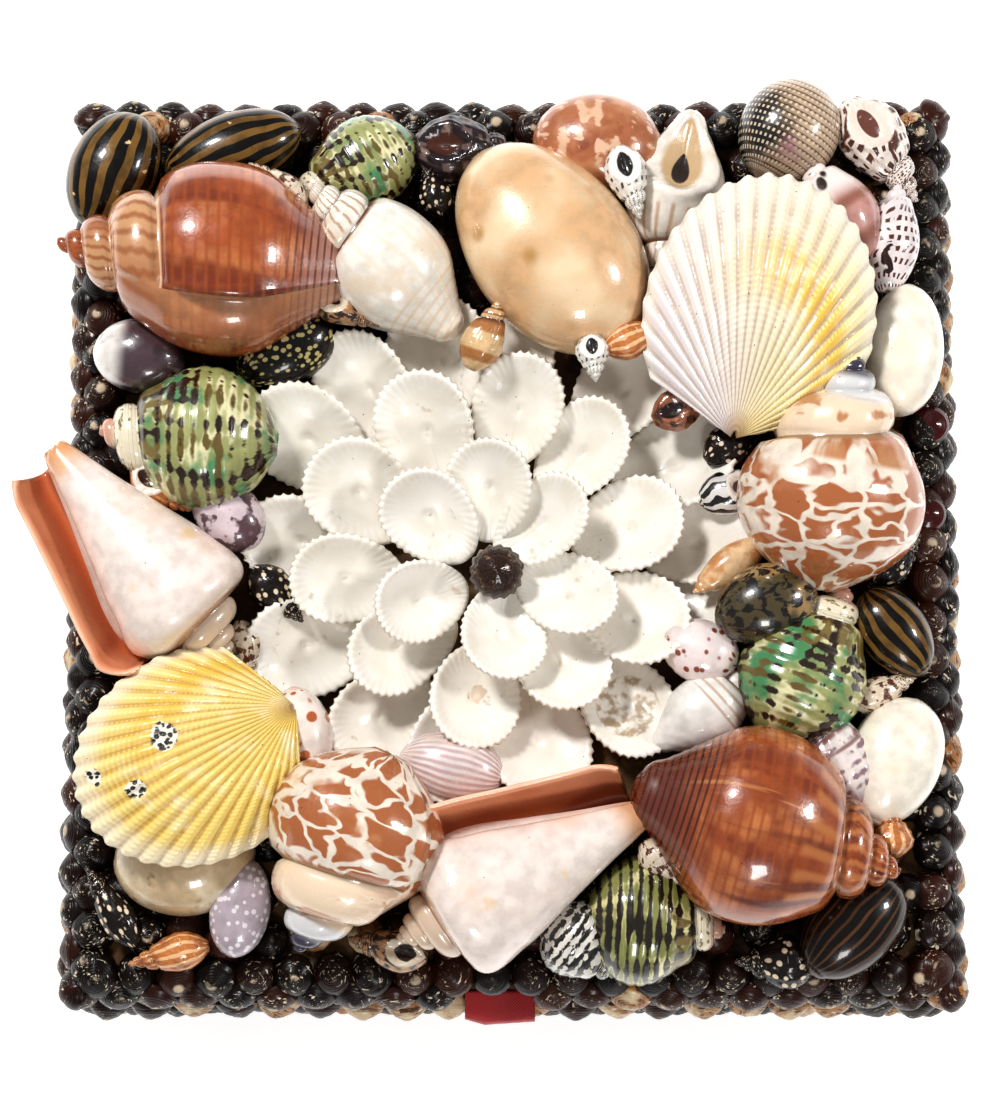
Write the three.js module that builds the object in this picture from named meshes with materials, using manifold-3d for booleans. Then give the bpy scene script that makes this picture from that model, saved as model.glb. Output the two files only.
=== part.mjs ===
// Shell box: a square box with a lift-off lid, covered with glued sea shells.
// Millimetres, +Z up. The origin is the middle of the tray's underside, and the front is at -Y.
import * as THREE from "three";
import { mergeVertices } from "three/addons/utils/BufferGeometryUtils.js";
import Module from "manifold-3d";

// Driving sizes of the box
const BOX_WIDTH = 203;
const BOX_DEPTH = 209;
const TRAY_HEIGHT = 44;
const TRAY_FLOOR = 5;
const LIP_HEIGHT = 4.5;
const LIP_WALL = 2.5;
const LIP_CLEARANCE = 0.5;
const LID_HEIGHT = 11;
const LID_WALL = 5;
const LID_PANEL = 4;
const RIM_CLEARANCE = 0.3;

// Driving sizes of the small shells on the edges
const GLUE_GAP = 0.3;
const EDGE_SHELL_PITCH = 9.4;
const EDGE_SHELL_RISE = 6;
const SIDE_SHELL_PITCH = 10.4;
const SIDE_SHELL_RISE = 6.5;
const SHELL_BACKING = 2;
const EDGE_SIDE_ROWS = 1;
const SIDE_ROWS = 4;
const FOOT_CLEARANCE = 1.2;

// Driving sizes of the ribbon pull
const RIBBON_WIDTH = 17;
const RIBBON_THICKNESS = 1.4;
const RIBBON_OUT = 2.5;
const RIBBON_DROP = 4;
const RIBBON_OFFSET = -3;

// Driving sizes of the flower
const FLOWER_CENTRE = [-4, -9.7];
const FLOWER_SHELL_WIDTH = 12.5;
const FLOWER_SHELL_RISE = 7;
const PETAL_THICKNESS = 1.5;
const PETAL_RINGS = [
  { name: "petals_inner", count: 6, inside: 5, outside: 26, lift: 9, climb: 4, cup: 3.4 },
  { name: "petals_middle", count: 10, inside: 13, outside: 42, lift: 4.2, climb: 5, cup: 3.8 },
  { name: "petals_outer", count: 14, inside: 33, outside: 54, lift: 3.6, climb: 4, cup: 3.4 },
];

// Heights and places that follow from the driving sizes
const LID_BOTTOM = TRAY_HEIGHT + RIM_CLEARANCE;
const LID_TOP = LID_BOTTOM + LID_HEIGHT;
const HALF_WIDTH = BOX_WIDTH / 2;
const HALF_DEPTH = BOX_DEPTH / 2;

// Outlines of the shell families: share of the length from the apex, share of the half width
const OUTLINES = {
  whelk: [[0, 0.02], [0.13, 0.3], [0.26, 0.58], [0.4, 0.9], [0.53, 1], [0.68, 0.92], [0.82, 0.6], [0.93, 0.36], [1, 0.24]],
  babylonia: [[0, 0.03], [0.1, 0.22], [0.22, 0.44], [0.35, 0.68], [0.5, 0.94], [0.64, 1], [0.8, 0.86], [0.93, 0.5], [1, 0.2]],
  turban: [[0, 0.04], [0.12, 0.28], [0.28, 0.6], [0.45, 0.92], [0.62, 1], [0.8, 0.84], [0.93, 0.5], [1, 0.15]],
  nerite: [[0, 0.05], [0.08, 0.42], [0.25, 0.82], [0.5, 1], [0.75, 0.88], [0.92, 0.52], [1, 0.08]],
  cowrie: [[0, 0.12], [0.08, 0.5], [0.25, 0.84], [0.5, 1], [0.75, 0.88], [0.93, 0.5], [1, 0.12]],
  conch: [[0, 0.03], [0.1, 0.34], [0.19, 0.66], [0.27, 1], [0.4, 0.94], [0.6, 0.68], [0.8, 0.42], [0.93, 0.27], [1, 0.18]],
  olive: [[0, 0.03], [0.15, 0.42], [0.35, 0.84], [0.55, 1], [0.75, 0.86], [0.9, 0.58], [1, 0.3]],
  nassa: [[0, 0.04], [0.15, 0.3], [0.35, 0.62], [0.55, 0.94], [0.7, 1], [0.88, 0.7], [1, 0.26]],
};

// How each family coils: turns of the spire, growth of each turn, share of the length where the last seam
// ends, depth of the seams, and how flat the shell lies
const COILS = {
  whelk: { turns: 3, growth: 1.8, body: 0.36, seam: 0.18, flat: 0.84 },
  babylonia: { turns: 3, growth: 1.8, body: 0.34, seam: 0.22, flat: 0.86 },
  turban: { turns: 2, growth: 2.2, body: 0.34, seam: 0.14, flat: 0.84 },
  nerite: { turns: 1, growth: 2.2, body: 0.1, seam: 0, flat: 0.84 },
  cowrie: { turns: 1, growth: 2, body: 0.06, seam: 0, flat: 0.8 },
  conch: { turns: 2, growth: 1.8, body: 0.24, seam: 0.14, flat: 0.84 },
  olive: { turns: 1, growth: 1.8, body: 0.2, seam: 0, flat: 0.86 },
  nassa: { turns: 2, growth: 1.8, body: 0.42, seam: 0.16, flat: 0.88 },
};

// The mosaic, uppermost shells first. at: share of the half lid in percent, from the middle; heading: degrees
// from +X to the tip; length and width: real size; rise: height of the axis above the lid; tip: degrees
// that the tip is raised; colour: base colour; beside: millimetres away from that place, for a small shell
// that leans on the one there
const MOSAIC = [
  { name: "shell_scallop_right", kind: "scallop", at: [57, 51], heading: 78, length: 63, width: 56, rise: 17, tip: 7, ribs: 20, colour: "#f1e2b4" },
  { name: "shell_scallop_left", kind: "scallop", at: [-73, -50], heading: 208, length: 54, width: 49, rise: 15, tip: 5, ribs: 20, colour: "#ecd27a" },
  { name: "shell_egg_cowrie", kind: "cowrie", at: [9, 66], heading: -53, length: 57, width: 39, rise: 14, tip: 0, colour: "#d9b98c" },
  { name: "shell_white_whelk", kind: "whelk", at: [-30, 63], heading: -45, length: 50, width: 27, rise: 13, tip: -4, colour: "#e9e2d8" },
  { name: "shell_brown_whelk_left", kind: "whelk", at: [-70, 63], heading: -5, length: 72, width: 46, rise: 17, tip: 0, colour: "#8a4528" },
  { name: "shell_babylonia_right", kind: "babylonia", at: [74, 14], heading: -100, length: 55, width: 44, rise: 17, tip: -12, colour: "#d8a880" },
  { name: "shell_conch_left", kind: "conch", at: [-85, -4], heading: 130, length: 65, width: 32, rise: 15, tip: 4, colour: "#f1e3dc", lip: 1 },
  { name: "shell_conch_front", kind: "conch", at: [2, -75], heading: 27, length: 64, width: 32, rise: 15, tip: 3, colour: "#efe2dc", lip: 1 },
  { name: "shell_brown_whelk_right", kind: "whelk", at: [57, -65], heading: 162, length: 64, width: 46, rise: 17, tip: 0, colour: "#7a3b22" },
  { name: "shell_babylonia_left", kind: "babylonia", at: [-38, -70], heading: 64, length: 50, width: 41, rise: 16, tip: 8, colour: "#d3a683" },
  { name: "shell_green_turban_left", kind: "turban", at: [-75, 23], heading: -5, length: 42, width: 34, rise: 12, tip: 0, colour: "#7f8f58" },
  { name: "shell_mottled_nerite", kind: "nerite", at: [58, -15], heading: 20, length: 25, width: 19, rise: 13, tip: 0, colour: "#4f4a3c" },
  { name: "shell_green_turban_right", kind: "turban", at: [68, -28], heading: -118, length: 40, width: 30, rise: 10, tip: 0, colour: "#6f8a52" },
  { name: "shell_white_whelk_small", kind: "whelk", at: [45, -38], heading: -145, length: 31, width: 17, rise: 8, tip: 0, colour: "#ece6dd" },
  { name: "shell_purple_thais", kind: "nassa", at: [74, -48], heading: -62, length: 31, width: 18, rise: 10, tip: -6, colour: "#a98a96" },
  { name: "shell_spotted_cone_left", kind: "nerite", at: [-49, -44], heading: -83, length: 23, width: 16, rise: 10, tip: 0, colour: "#e8d3c0" },
  { name: "shell_striated_moon", kind: "nerite", at: [-14, -51], heading: -14, length: 25, width: 17, rise: 8, tip: 0, colour: "#d5bfb8" },
  { name: "shell_mauve_cowrie", kind: "cowrie", at: [-66, 6], heading: -48, length: 21, width: 15, rise: 10, tip: 0, colour: "#b9a0a4" },
  { name: "shell_orange_whelk", kind: "nassa", at: [-81, 11], heading: 143, length: 17, width: 10, rise: 8, tip: 0, colour: "#b9703c" },
  { name: "shell_broken_whelk", kind: "whelk", at: [38, 78], heading: 78, length: 46, width: 23, rise: 9, tip: 0, colour: "#e6dccf", open: 1 },
  { name: "shell_brown_clam", kind: "cowrie", at: [20, 91], heading: -8, length: 31, width: 25, rise: 10, tip: 0, colour: "#b5683f" },
  { name: "shell_drupe_dark", kind: "nassa", at: [-10, 90], heading: 176, length: 28, width: 16, rise: 9, tip: 0, colour: "#3f3434" },
  { name: "shell_drupe_ribbed", kind: "nerite", at: [65, 94], heading: 57, length: 27, width: 24, rise: 10, tip: 0, colour: "#6e5b4c" },
  { name: "shell_pink_cone", kind: "olive", at: [74, 76], heading: -53, length: 27, width: 18, rise: 9, tip: 0, colour: "#c69a90" },
  { name: "shell_planaxis_corner", kind: "nassa", at: [87, 90], heading: 123, length: 30, width: 16, rise: 9, tip: 0, colour: "#8f7b72" },
  { name: "shell_mitre", kind: "olive", at: [89, 69], heading: -97, length: 27, width: 13, rise: 11, tip: 0, colour: "#b79a90" },
  { name: "shell_white_cowrie", kind: "cowrie", at: [91, 43], heading: -96, length: 32, width: 19, rise: 11, tip: 0, colour: "#f2eee6" },
  { name: "shell_zebra_nerite_corner", kind: "nerite", at: [-94, 85], heading: 64, length: 30, width: 21, rise: 10, tip: 0, colour: "#3b3420" },
  { name: "shell_zebra_nerite_back", kind: "nerite", at: [-66, 90], heading: 18, length: 34, width: 18, rise: 9, tip: 0, colour: "#4a3a24" },
  { name: "shell_green_turban_back", kind: "turban", at: [-37, 86], heading: 26, length: 32, width: 22, rise: 9, tip: 0, colour: "#7c8c50" },
  { name: "shell_gold_nerite", kind: "nerite", at: [-53, 44], heading: 33, length: 27, width: 18, rise: 8, tip: 0, colour: "#2c2a24" },
  { name: "shell_grey_cowrie", kind: "cowrie", at: [-87, 42], heading: -7, length: 22, width: 18, rise: 10, tip: 0, colour: "#8f8a8e" },
  { name: "shell_banded_whelk", kind: "nassa", at: [-6, 46], heading: -116, length: 19, width: 10, rise: 16, tip: -10, colour: "#b98a5c" },
  { name: "shell_small_murex", kind: "nassa", at: [57, 51], beside: [-17.255, -21.945], heading: 206, length: 17, width: 10, rise: 13, tip: 0, colour: "#6b4432" },
  { name: "shell_speckled_whelk", kind: "nassa", at: [52, 23], heading: -143, length: 18, width: 10, rise: 9, tip: 0, colour: "#37302c" },
  { name: "shell_striped_nerite", kind: "nerite", at: [50, 11], heading: 17, length: 15, width: 11, rise: 8, tip: 0, colour: "#4a4748" },
  { name: "shell_olive", kind: "olive", at: [50, -6], heading: 36, length: 21, width: 9, rise: 9, tip: 0, colour: "#dcb489" },
  { name: "shell_spotted_cone_right", kind: "nerite", at: [43, -25], heading: -21, length: 19, width: 15, rise: 9, tip: 0, colour: "#e5cfc6" },
  { name: "shell_zebra_nerite_right", kind: "nerite", at: [88, -21], heading: 124, length: 24, width: 16, rise: 9, tip: 0, colour: "#332a1c" },
  { name: "shell_white_moon", kind: "nerite", at: [87, -50], heading: 66, length: 32, width: 22, rise: 9, tip: 0, colour: "#efe9df" },
  { name: "shell_zebra_nerite_front", kind: "nerite", at: [77, -86], heading: 44, length: 30, width: 20, rise: 9, tip: 0, colour: "#2b211b" },
  { name: "shell_green_turban_front", kind: "turban", at: [32, -85], heading: 173, length: 33, width: 30, rise: 9, tip: 0, colour: "#6f7d48" },
  { name: "shell_striped_turban", kind: "turban", at: [16, -90], heading: 137, length: 21, width: 19, rise: 9, tip: 0, colour: "#7d7a76" },
  { name: "shell_cream_cowrie", kind: "cowrie", at: [-75, -71], heading: 8, length: 33, width: 27, rise: 7, tip: 0, colour: "#d8c3a2" },
  { name: "shell_dotted_cowrie", kind: "cowrie", at: [-62, -82], heading: -99, length: 23, width: 14, rise: 9, tip: 0, colour: "#a79a9c" },
];

const wasm = await Module();
wasm.setup();

// The geometry with its positions only, and its shared vertices merged
function welded(geometry) {
  const bare = geometry.clone();
  for (const name of Object.keys(bare.attributes)) {
    if (name !== "position") bare.deleteAttribute(name);
  }
  return mergeVertices(bare, 1e-4);
}

// A three.js geometry as a manifold-3d solid
function solidOf(geometry) {
  const merged = welded(geometry);
  return new wasm.Manifold(
    new wasm.Mesh({
      numProp: 3,
      vertProperties: new Float32Array(merged.attributes.position.array),
      triVerts: new Uint32Array(merged.index.array),
    }),
  );
}

// A manifold-3d solid as a three.js geometry
function geometryOf(solid) {
  const mesh = solid.getMesh();
  const geometry = new THREE.BufferGeometry();
  geometry.setAttribute("position", new THREE.BufferAttribute(mesh.vertProperties, 3));
  geometry.setIndex(new THREE.BufferAttribute(mesh.triVerts, 1));
  return geometry;
}

// Points and triangles as a geometry; a triangle that has lost a corner is left out
function facets(points, triangles) {
  const kept = triangles.filter(([a, b, c]) => a !== b && b !== c && c !== a);
  const geometry = new THREE.BufferGeometry();
  geometry.setAttribute("position", new THREE.Float32BufferAttribute(points.flat(), 3));
  geometry.setIndex(kept.flat());
  return geometry;
}

// A box between two heights, given by its half sizes in plan
function boxBetween(halfX, halfY, bottom, top) {
  const geometry = new THREE.BoxGeometry(2 * halfX, 2 * halfY, top - bottom);
  return solidOf(geometry.translate(0, 0, (bottom + top) / 2));
}

// The largest body of a solid that cuts have parted
function largestBody(solid) {
  const bodies = solid.decompose();
  return bodies.reduce((best, body) => (body.volume() > best.volume() ? body : best));
}

// The same geometry with its surface moved out by a distance, further at sharp corners
function grown(geometry, distance) {
  const moved = welded(geometry);
  const { position } = moved.attributes;
  const corners = [...moved.index.array];
  const at = (i) => new THREE.Vector3().fromBufferAttribute(position, i);
  const facing = Array.from({ length: position.count }, () => []);
  for (let i = 0; i < corners.length; i += 3) {
    const [a, b, c] = corners.slice(i, i + 3);
    const normal = new THREE.Triangle(at(a), at(b), at(c)).getNormal(new THREE.Vector3());
    for (const [corner, one, two] of [[a, b, c], [b, c, a], [c, a, b]]) {
      const angle = at(one).sub(at(corner)).angleTo(at(two).sub(at(corner)));
      facing[corner].push({ normal, angle });
    }
  }
  const places = facing.map((faces, i) => {
    const out = new THREE.Vector3();
    for (const { normal, angle } of faces) out.addScaledVector(normal, angle);
    out.normalize();
    const least = Math.min(...faces.map(({ normal }) => normal.dot(out)));
    return at(i).addScaledVector(out, distance / Math.max(least, 0.45));
  });
  places.forEach((place, i) => position.setXYZ(i, place.x, place.y, place.z));
  return moved;
}

// Smooth value of an outline at a share of the length, through all its points
function outlineAt(outline, share) {
  const t = Math.min(Math.max(share, 0), 1);
  let k = 0;
  while (k < outline.length - 2 && outline[k + 1][0] < t) k += 1;
  const before = outline[Math.max(k - 1, 0)];
  const [t0, r0] = outline[k];
  const [t1, r1] = outline[k + 1];
  const after = outline[Math.min(k + 2, outline.length - 1)];
  const step = t1 - t0;
  const slope0 = ((r1 - before[1]) / (t1 - before[0])) * step;
  const slope1 = ((after[1] - r0) / (after[0] - t0)) * step;
  const u = (t - t0) / step;
  const value =
    (2 * u ** 3 - 3 * u ** 2 + 1) * r0 +
    (u ** 3 - 2 * u ** 2 + u) * slope0 +
    (3 * u ** 2 - 2 * u ** 3) * r1 +
    (u ** 3 - u ** 2) * slope1;
  return Math.max(value, 0.01);
}

// A coiled shell, apex at z = 0 and tip at z = length: rows follow the seam, so each turn of columns
// ends one whorl of rows lower
function coiledShell(kind, length, width, sides, bodyRows) {
  const { turns, growth, body, seam } = COILS[kind];
  const perTurn = turns > 1 ? 2 : 1;
  const spireRows = perTurn * turns;
  const lastRow = spireRows + bodyRows;
  const spireSpan = growth ** turns - 1;
  const heightAt = (row) => {
    if (row <= spireRows) return (body * (growth ** (row / perTurn) - 1)) / spireSpan;
    return body + ((1 - body) * (row - spireRows)) / bodyRows;
  };
  const points = [[0, 0, 0], [0, 0, length]];
  const index = new Map();
  const vertex = (row, column) => {
    const depth = row + (perTurn * column) / sides;
    if (depth <= 0) return 0;
    if (depth >= lastRow) return 1;
    const key = column === sides ? `${row + perTurn}:0` : `${row}:${column}`;
    if (!index.has(key)) {
      const share = heightAt(depth);
      const onSeam = row % perTurn === 0 && depth <= spireRows + 0.5;
      const pinch = onSeam ? 1 - seam : 1;
      const radius = (width / 2) * outlineAt(OUTLINES[kind], share) * pinch;
      const angle = (2 * Math.PI * column) / sides;
      index.set(key, points.length);
      points.push([radius * Math.cos(angle), radius * Math.sin(angle), share * length]);
    }
    return index.get(key);
  };
  const triangles = [];
  for (let row = -perTurn; row < lastRow; row += 1) {
    for (let column = 0; column < sides; column += 1) {
      const [a, b] = [vertex(row, column), vertex(row, column + 1)];
      const [c, d] = [vertex(row + 1, column + 1), vertex(row + 1, column)];
      triangles.push([a, b, c], [a, c, d]);
    }
  }
  return facets(points, triangles);
}

// A closed sheet from a grid of upper and lower points; rows run outwards from one shared corner or edge
function sheet(upper, lower) {
  const rows = upper.length;
  const columns = upper[0].length;
  const points = [...upper.flat(), ...lower.flat()];
  const top = (row, column) => row * columns + column;
  const under = (row, column) => rows * columns + row * columns + column;
  const triangles = [];
  for (let row = 0; row < rows - 1; row += 1) {
    for (let column = 0; column < columns - 1; column += 1) {
      triangles.push([top(row, column), top(row + 1, column), top(row + 1, column + 1)]);
      triangles.push([top(row, column), top(row + 1, column + 1), top(row, column + 1)]);
      triangles.push([under(row, column), under(row + 1, column + 1), under(row + 1, column)]);
      triangles.push([under(row, column), under(row, column + 1), under(row + 1, column + 1)]);
    }
  }
  const rim = [];
  for (let column = 0; column < columns; column += 1) rim.push([0, column]);
  for (let row = 1; row < rows; row += 1) rim.push([row, columns - 1]);
  for (let column = columns - 2; column >= 0; column -= 1) rim.push([rows - 1, column]);
  for (let row = rows - 2; row > 0; row -= 1) rim.push([row, 0]);
  rim.forEach((here, i) => {
    const next = rim[(i + 1) % rim.length];
    triangles.push([top(...here), top(...next), under(...next)]);
    triangles.push([top(...here), under(...next), under(...here)]);
  });
  return facets(points, triangles);
}

// A fan-shaped valve, domed upwards, hinge at z = 0 and margin at z = length; x is up. Its columns rise and
// fall as ribs; with room to spare it is smooth and thicker
function scallopValve(length, width, columns, spare = 0) {
  const ribbed = spare === 0;
  const spread = 1.25;
  const roundness = 0.62;
  const widest = 0.583;
  const dome = 0.24 * length;
  const thickness = 1.8;
  const ribRise = 0.9;
  const upper = [];
  const lower = [];
  const wide = ribbed ? 1 : 1.05;
  for (const out of ribbed ? [0.1, 0.55, 1] : [0.05, 0.55, 1.03]) {
    const rowTop = [];
    const rowUnder = [];
    for (let k = 0; k <= columns; k += 1) {
      const across = 1 - (2 * k) / columns;
      const angle = spread * across;
      const reach = out * Math.cos(angle) ** roundness;
      const z = length * reach * Math.cos(angle);
      const y = wide * (width / 2) * reach * (Math.sin(angle) / widest);
      const swell = Math.sin(Math.PI * Math.min(out * 0.72 + 0.12, 1)) * (1 - 0.55 * across * across);
      const rib = ribbed && k % 2 === 0 ? 0 : ribRise * out;
      rowTop.push([dome * swell + rib + spare, y, z]);
      rowUnder.push([dome * swell + (ribbed ? rib : 0) - thickness - spare, y, z]);
    }
    upper.push(rowTop);
    lower.push(rowUnder);
  }
  return sheet(upper, lower);
}

// A shell laid on the lid: its own z axis turned to the heading, its middle at the given place
function laid(geometry, { at, beside = [0, 0], heading, length, rise, tip }, flat) {
  const turn = THREE.MathUtils.degToRad(heading);
  const raise = THREE.MathUtils.degToRad(tip);
  const along = new THREE.Vector3(
    Math.cos(turn) * Math.cos(raise),
    Math.sin(turn) * Math.cos(raise),
    Math.sin(raise),
  );
  const right = new THREE.Vector3(Math.sin(turn), -Math.cos(turn), 0);
  const up = new THREE.Vector3().crossVectors(right, along);
  const frame = new THREE.Matrix4().makeBasis(up.multiplyScalar(flat), right, along);
  const place = new THREE.Matrix4().makeTranslation(
    (at[0] / 100) * HALF_WIDTH + beside[0],
    (at[1] / 100) * HALF_DEPTH + beside[1],
    LID_TOP + rise,
  );
  const centred = geometry.clone().translate(0, 0, -length / 2);
  return centred.applyMatrix4(frame).applyMatrix4(place);
}

// The flared lip of a conch: a hollow sheet along the opening, from the body outwards on the left
function conchLip(length, width) {
  const thickness = 1.8;
  const reach = 0.45 * width;
  const upper = [];
  const lower = [];
  for (const out of [0, 0.5, 1]) {
    const rowTop = [];
    const rowUnder = [];
    for (let k = 0; k <= 6; k += 1) {
      const along = 1 - k / 6;
      const share = 0.26 + 0.7 * along;
      const body = 0.8 * (width / 2) * outlineAt(OUTLINES.conch, share);
      const height = 0.16 * width * (1 - 2.1 * Math.sin(0.75 * Math.PI * out) + 1.5 * out);
      const point = [height, -(body + reach * out * (1 - 0.3 * along)), length * (share - 0.04 * out)];
      rowTop.push(point);
      rowUnder.push([point[0] - thickness, point[1], point[2]]);
    }
    upper.push(rowTop);
    lower.push(rowUnder);
  }
  return sheet(upper, lower);
}

// The geometries that one shell of the mosaic is joined from
function shellGeometries(shell) {
  const { kind, length, width } = shell;
  if (kind === "scallop") return [laid(scallopValve(length, width, 2 * shell.ribs), shell, 1)];
  const sides = width > 25 ? 10 : width > 14 ? 8 : 6;
  const bodyRows = width > 14 ? 4 : 3;
  const coil = laid(coiledShell(kind, length, width, sides, bodyRows), shell, COILS[kind].flat);
  if (!shell.lip) return [coil];
  return [coil, laid(conchLip(length, width), shell, 1)];
}

// The room that a shell takes with the glue round it: a scallop's is smooth
function roomGeometries(shell) {
  if (shell.kind !== "scallop") return shellGeometries(shell).map((part) => grown(part, GLUE_GAP));
  return [laid(scallopValve(shell.length, shell.width, 20, 2.5 * GLUE_GAP), shell, 1)];
}

// The broken-out opening of a shell that lies with its mouth up, towards its tip
function openingGeometry(shell) {
  const { length, width } = shell;
  const hollow = new THREE.SphereGeometry(0.3 * width, 8, 6).scale(1.1, 1, 1.9);
  return laid(hollow.translate(0.32 * width, 0, 0.78 * length), shell, 1);
}

// One ring of cockle valves round the flower's middle, hollow side up: the valves touch along raised
// seams, sink in their middles and end in round margins
function petalRing({ count, inside, outside, lift, climb, cup }) {
  const perPetal = 4;
  const columns = count * perPetal;
  const points = [];
  const ring = (share, drop) => {
    const first = points.length;
    for (let k = 0; k < columns; k += 1) {
      const across = ((k % perPetal) / perPetal) * 2 - 1;
      const margin = outside * (1 - 0.13 * across * across);
      const radius = inside + (margin - inside) * share;
      const hollow = cup * (1 - across * across) * Math.sin(Math.PI * Math.min(0.15 + 0.72 * share, 1));
      const angle = (2 * Math.PI * k) / columns;
      points.push([
        FLOWER_CENTRE[0] + radius * Math.cos(angle),
        FLOWER_CENTRE[1] + radius * Math.sin(angle),
        LID_TOP + lift + climb * share - hollow - drop,
      ]);
    }
    return first;
  };
  const loops = [ring(0, 0), ring(0.5, 0), ring(1, 0), ring(0.4, PETAL_THICKNESS)];
  const triangles = [];
  loops.forEach((here, i) => {
    const next = loops[(i + 1) % loops.length];
    for (let k = 0; k < columns; k += 1) {
      const n = (k + 1) % columns;
      triangles.push([here + k, next + k, next + n], [here + k, next + n, here + n]);
    }
  });
  return facets(points, triangles);
}

// The dark ribbed top shell in the middle of the flower
function flowerShell() {
  const profile = [
    [0, 0],
    [FLOWER_SHELL_WIDTH / 2, 0],
    [FLOWER_SHELL_WIDTH * 0.36, FLOWER_SHELL_RISE * 0.5],
    [0, FLOWER_SHELL_RISE],
  ];
  const points = profile.map(([x, y]) => new THREE.Vector2(x, y));
  const cone = new THREE.LatheGeometry(points, 10).rotateX(Math.PI / 2);
  const lift = LID_TOP + PETAL_RINGS[0].lift + 2 * GLUE_GAP;
  return cone.translate(FLOWER_CENTRE[0], FLOWER_CENTRE[1], lift);
}

// A course of top shells side by side on a surface: a pyramid for each shell, and a smooth back. The shells
// stand between the given breadths; place maps a distance along, a distance across and a height off the
// surface to a point
function shellCourse(length, pitch, breadths, rise, place) {
  const count = Math.round(length / pitch);
  const rows = breadths.length - 1;
  const points = [];
  const found = new Map();
  const put = (step, line, height) => {
    const key = [step, line, height].join();
    if (!found.has(key)) {
      const low = breadths[Math.floor(line)];
      const across = low + ((breadths[Math.ceil(line)] - low) * (line - Math.floor(line)));
      found.set(key, points.length);
      points.push(place((length * step) / count, across, height));
    }
    return found.get(key);
  };
  const front = (step, line) => put(step, line, SHELL_BACKING);
  const back = (step, line) => put(step, line, 0);
  const triangles = [];
  for (let line = 0; line < rows; line += 1) {
    for (let step = 0; step < count; step += 1) {
      const apex = put(step + 0.5, line + 0.5, rise);
      const ring = [front(step, line), front(step + 1, line), front(step + 1, line + 1), front(step, line + 1)];
      ring.forEach((corner, i) => triangles.push([apex, corner, ring[(i + 1) % 4]]));
    }
    const [a, b, c, d] = [back(0, line), back(count, line), back(count, line + 1), back(0, line + 1)];
    const [e, f, g, h] = [front(0, line), front(count, line), front(count, line + 1), front(0, line + 1)];
    triangles.push([a, c, b], [a, d, c], [a, e, h], [a, h, d], [b, c, g], [b, g, f]);
  }
  for (let step = 0; step < count; step += 1) {
    triangles.push([back(0, 0), front(step + 1, 0), front(step, 0)]);
    triangles.push([back(0, rows), front(step, rows), front(step + 1, rows)]);
  }
  triangles.push([back(0, 0), back(count, 0), front(count, 0)]);
  triangles.push([back(0, rows), front(count, rows), back(count, rows)]);
  return facets(points, triangles);
}

// The four walls of the box: how each is turned, how far out it stands, half its length, and whether its
// courses cover the ends of the next walls' courses
const WALLS = [
  { side: "front", turn: 0, out: HALF_DEPTH, half: HALF_WIDTH, covers: true },
  { side: "right", turn: Math.PI / 2, out: HALF_WIDTH, half: HALF_DEPTH, covers: false },
  { side: "back", turn: Math.PI, out: HALF_DEPTH, half: HALF_WIDTH, covers: true },
  { side: "left", turn: -Math.PI / 2, out: HALF_WIDTH, half: HALF_DEPTH, covers: false },
];

// The course on one wall of the tray
function traySideCourse({ turn, out, half, covers }) {
  const reach = half + (covers ? SHELL_BACKING + GLUE_GAP : 0);
  const top = TRAY_HEIGHT - RIBBON_THICKNESS - GLUE_GAP;
  const breadths = [];
  for (let row = 0; row <= SIDE_ROWS; row += 1) {
    breadths.push(FOOT_CLEARANCE + ((top - FOOT_CLEARANCE) * row) / SIDE_ROWS);
  }
  const place = (along, across, height) => [along - reach, -(out + GLUE_GAP + height), across];
  return shellCourse(2 * reach, SIDE_SHELL_PITCH, breadths, SIDE_SHELL_RISE, place).rotateZ(turn);
}

// The course on one edge of the lid: one row on its top, bent over the edge, and the rows on its side
function lidEdgeCourse({ turn, out, half, covers }) {
  const reach = half + (covers ? SHELL_BACKING + GLUE_GAP : 0);
  const bottom = LID_BOTTOM + GLUE_GAP;
  const corner = LID_TOP + GLUE_GAP;
  const breadths = [];
  for (let row = 0; row <= EDGE_SIDE_ROWS; row += 1) {
    breadths.push(((corner - bottom) * row) / EDGE_SIDE_ROWS);
  }
  const sideHeight = corner - bottom;
  breadths.push(sideHeight + EDGE_SHELL_PITCH);
  const place = (along, across, height) => {
    const x = along - reach;
    const over = across - sideHeight;
    if (over < -0.3 * EDGE_SHELL_PITCH) return [x, -(out + GLUE_GAP + height), bottom + across];
    if (over > 0.3 * EDGE_SHELL_PITCH) return [x, -(out + GLUE_GAP) + over, corner + height];
    return [x, -(out + GLUE_GAP + 0.7 * height), corner + 0.7 * height];
  };
  const course = shellCourse(2 * reach, EDGE_SHELL_PITCH, breadths, EDGE_SHELL_RISE, place).rotateZ(turn);
  if (covers) return course;
  const between = HALF_DEPTH - EDGE_SHELL_PITCH;
  const ends = boxBetween(BOX_WIDTH, BOX_DEPTH, LID_TOP, LID_TOP + 2 * EDGE_SHELL_RISE).subtract(
    boxBetween(2 * BOX_WIDTH, between, LID_TOP - 1, LID_TOP + 3 * EDGE_SHELL_RISE),
  );
  return geometryOf(largestBody(solidOf(course).subtract(ends)));
}

function trayGeometry() {
  const outer = boxBetween(HALF_WIDTH, HALF_DEPTH, 0, TRAY_HEIGHT);
  const lipOut = LID_WALL + LIP_CLEARANCE;
  const lip = boxBetween(HALF_WIDTH - lipOut, HALF_DEPTH - lipOut, TRAY_FLOOR, TRAY_HEIGHT + LIP_HEIGHT);
  const inset = lipOut + LIP_WALL;
  const hollow = boxBetween(HALF_WIDTH - inset, HALF_DEPTH - inset, TRAY_FLOOR, TRAY_HEIGHT + 2 * LIP_HEIGHT);
  return geometryOf(outer.add(lip).subtract(hollow));
}

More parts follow.
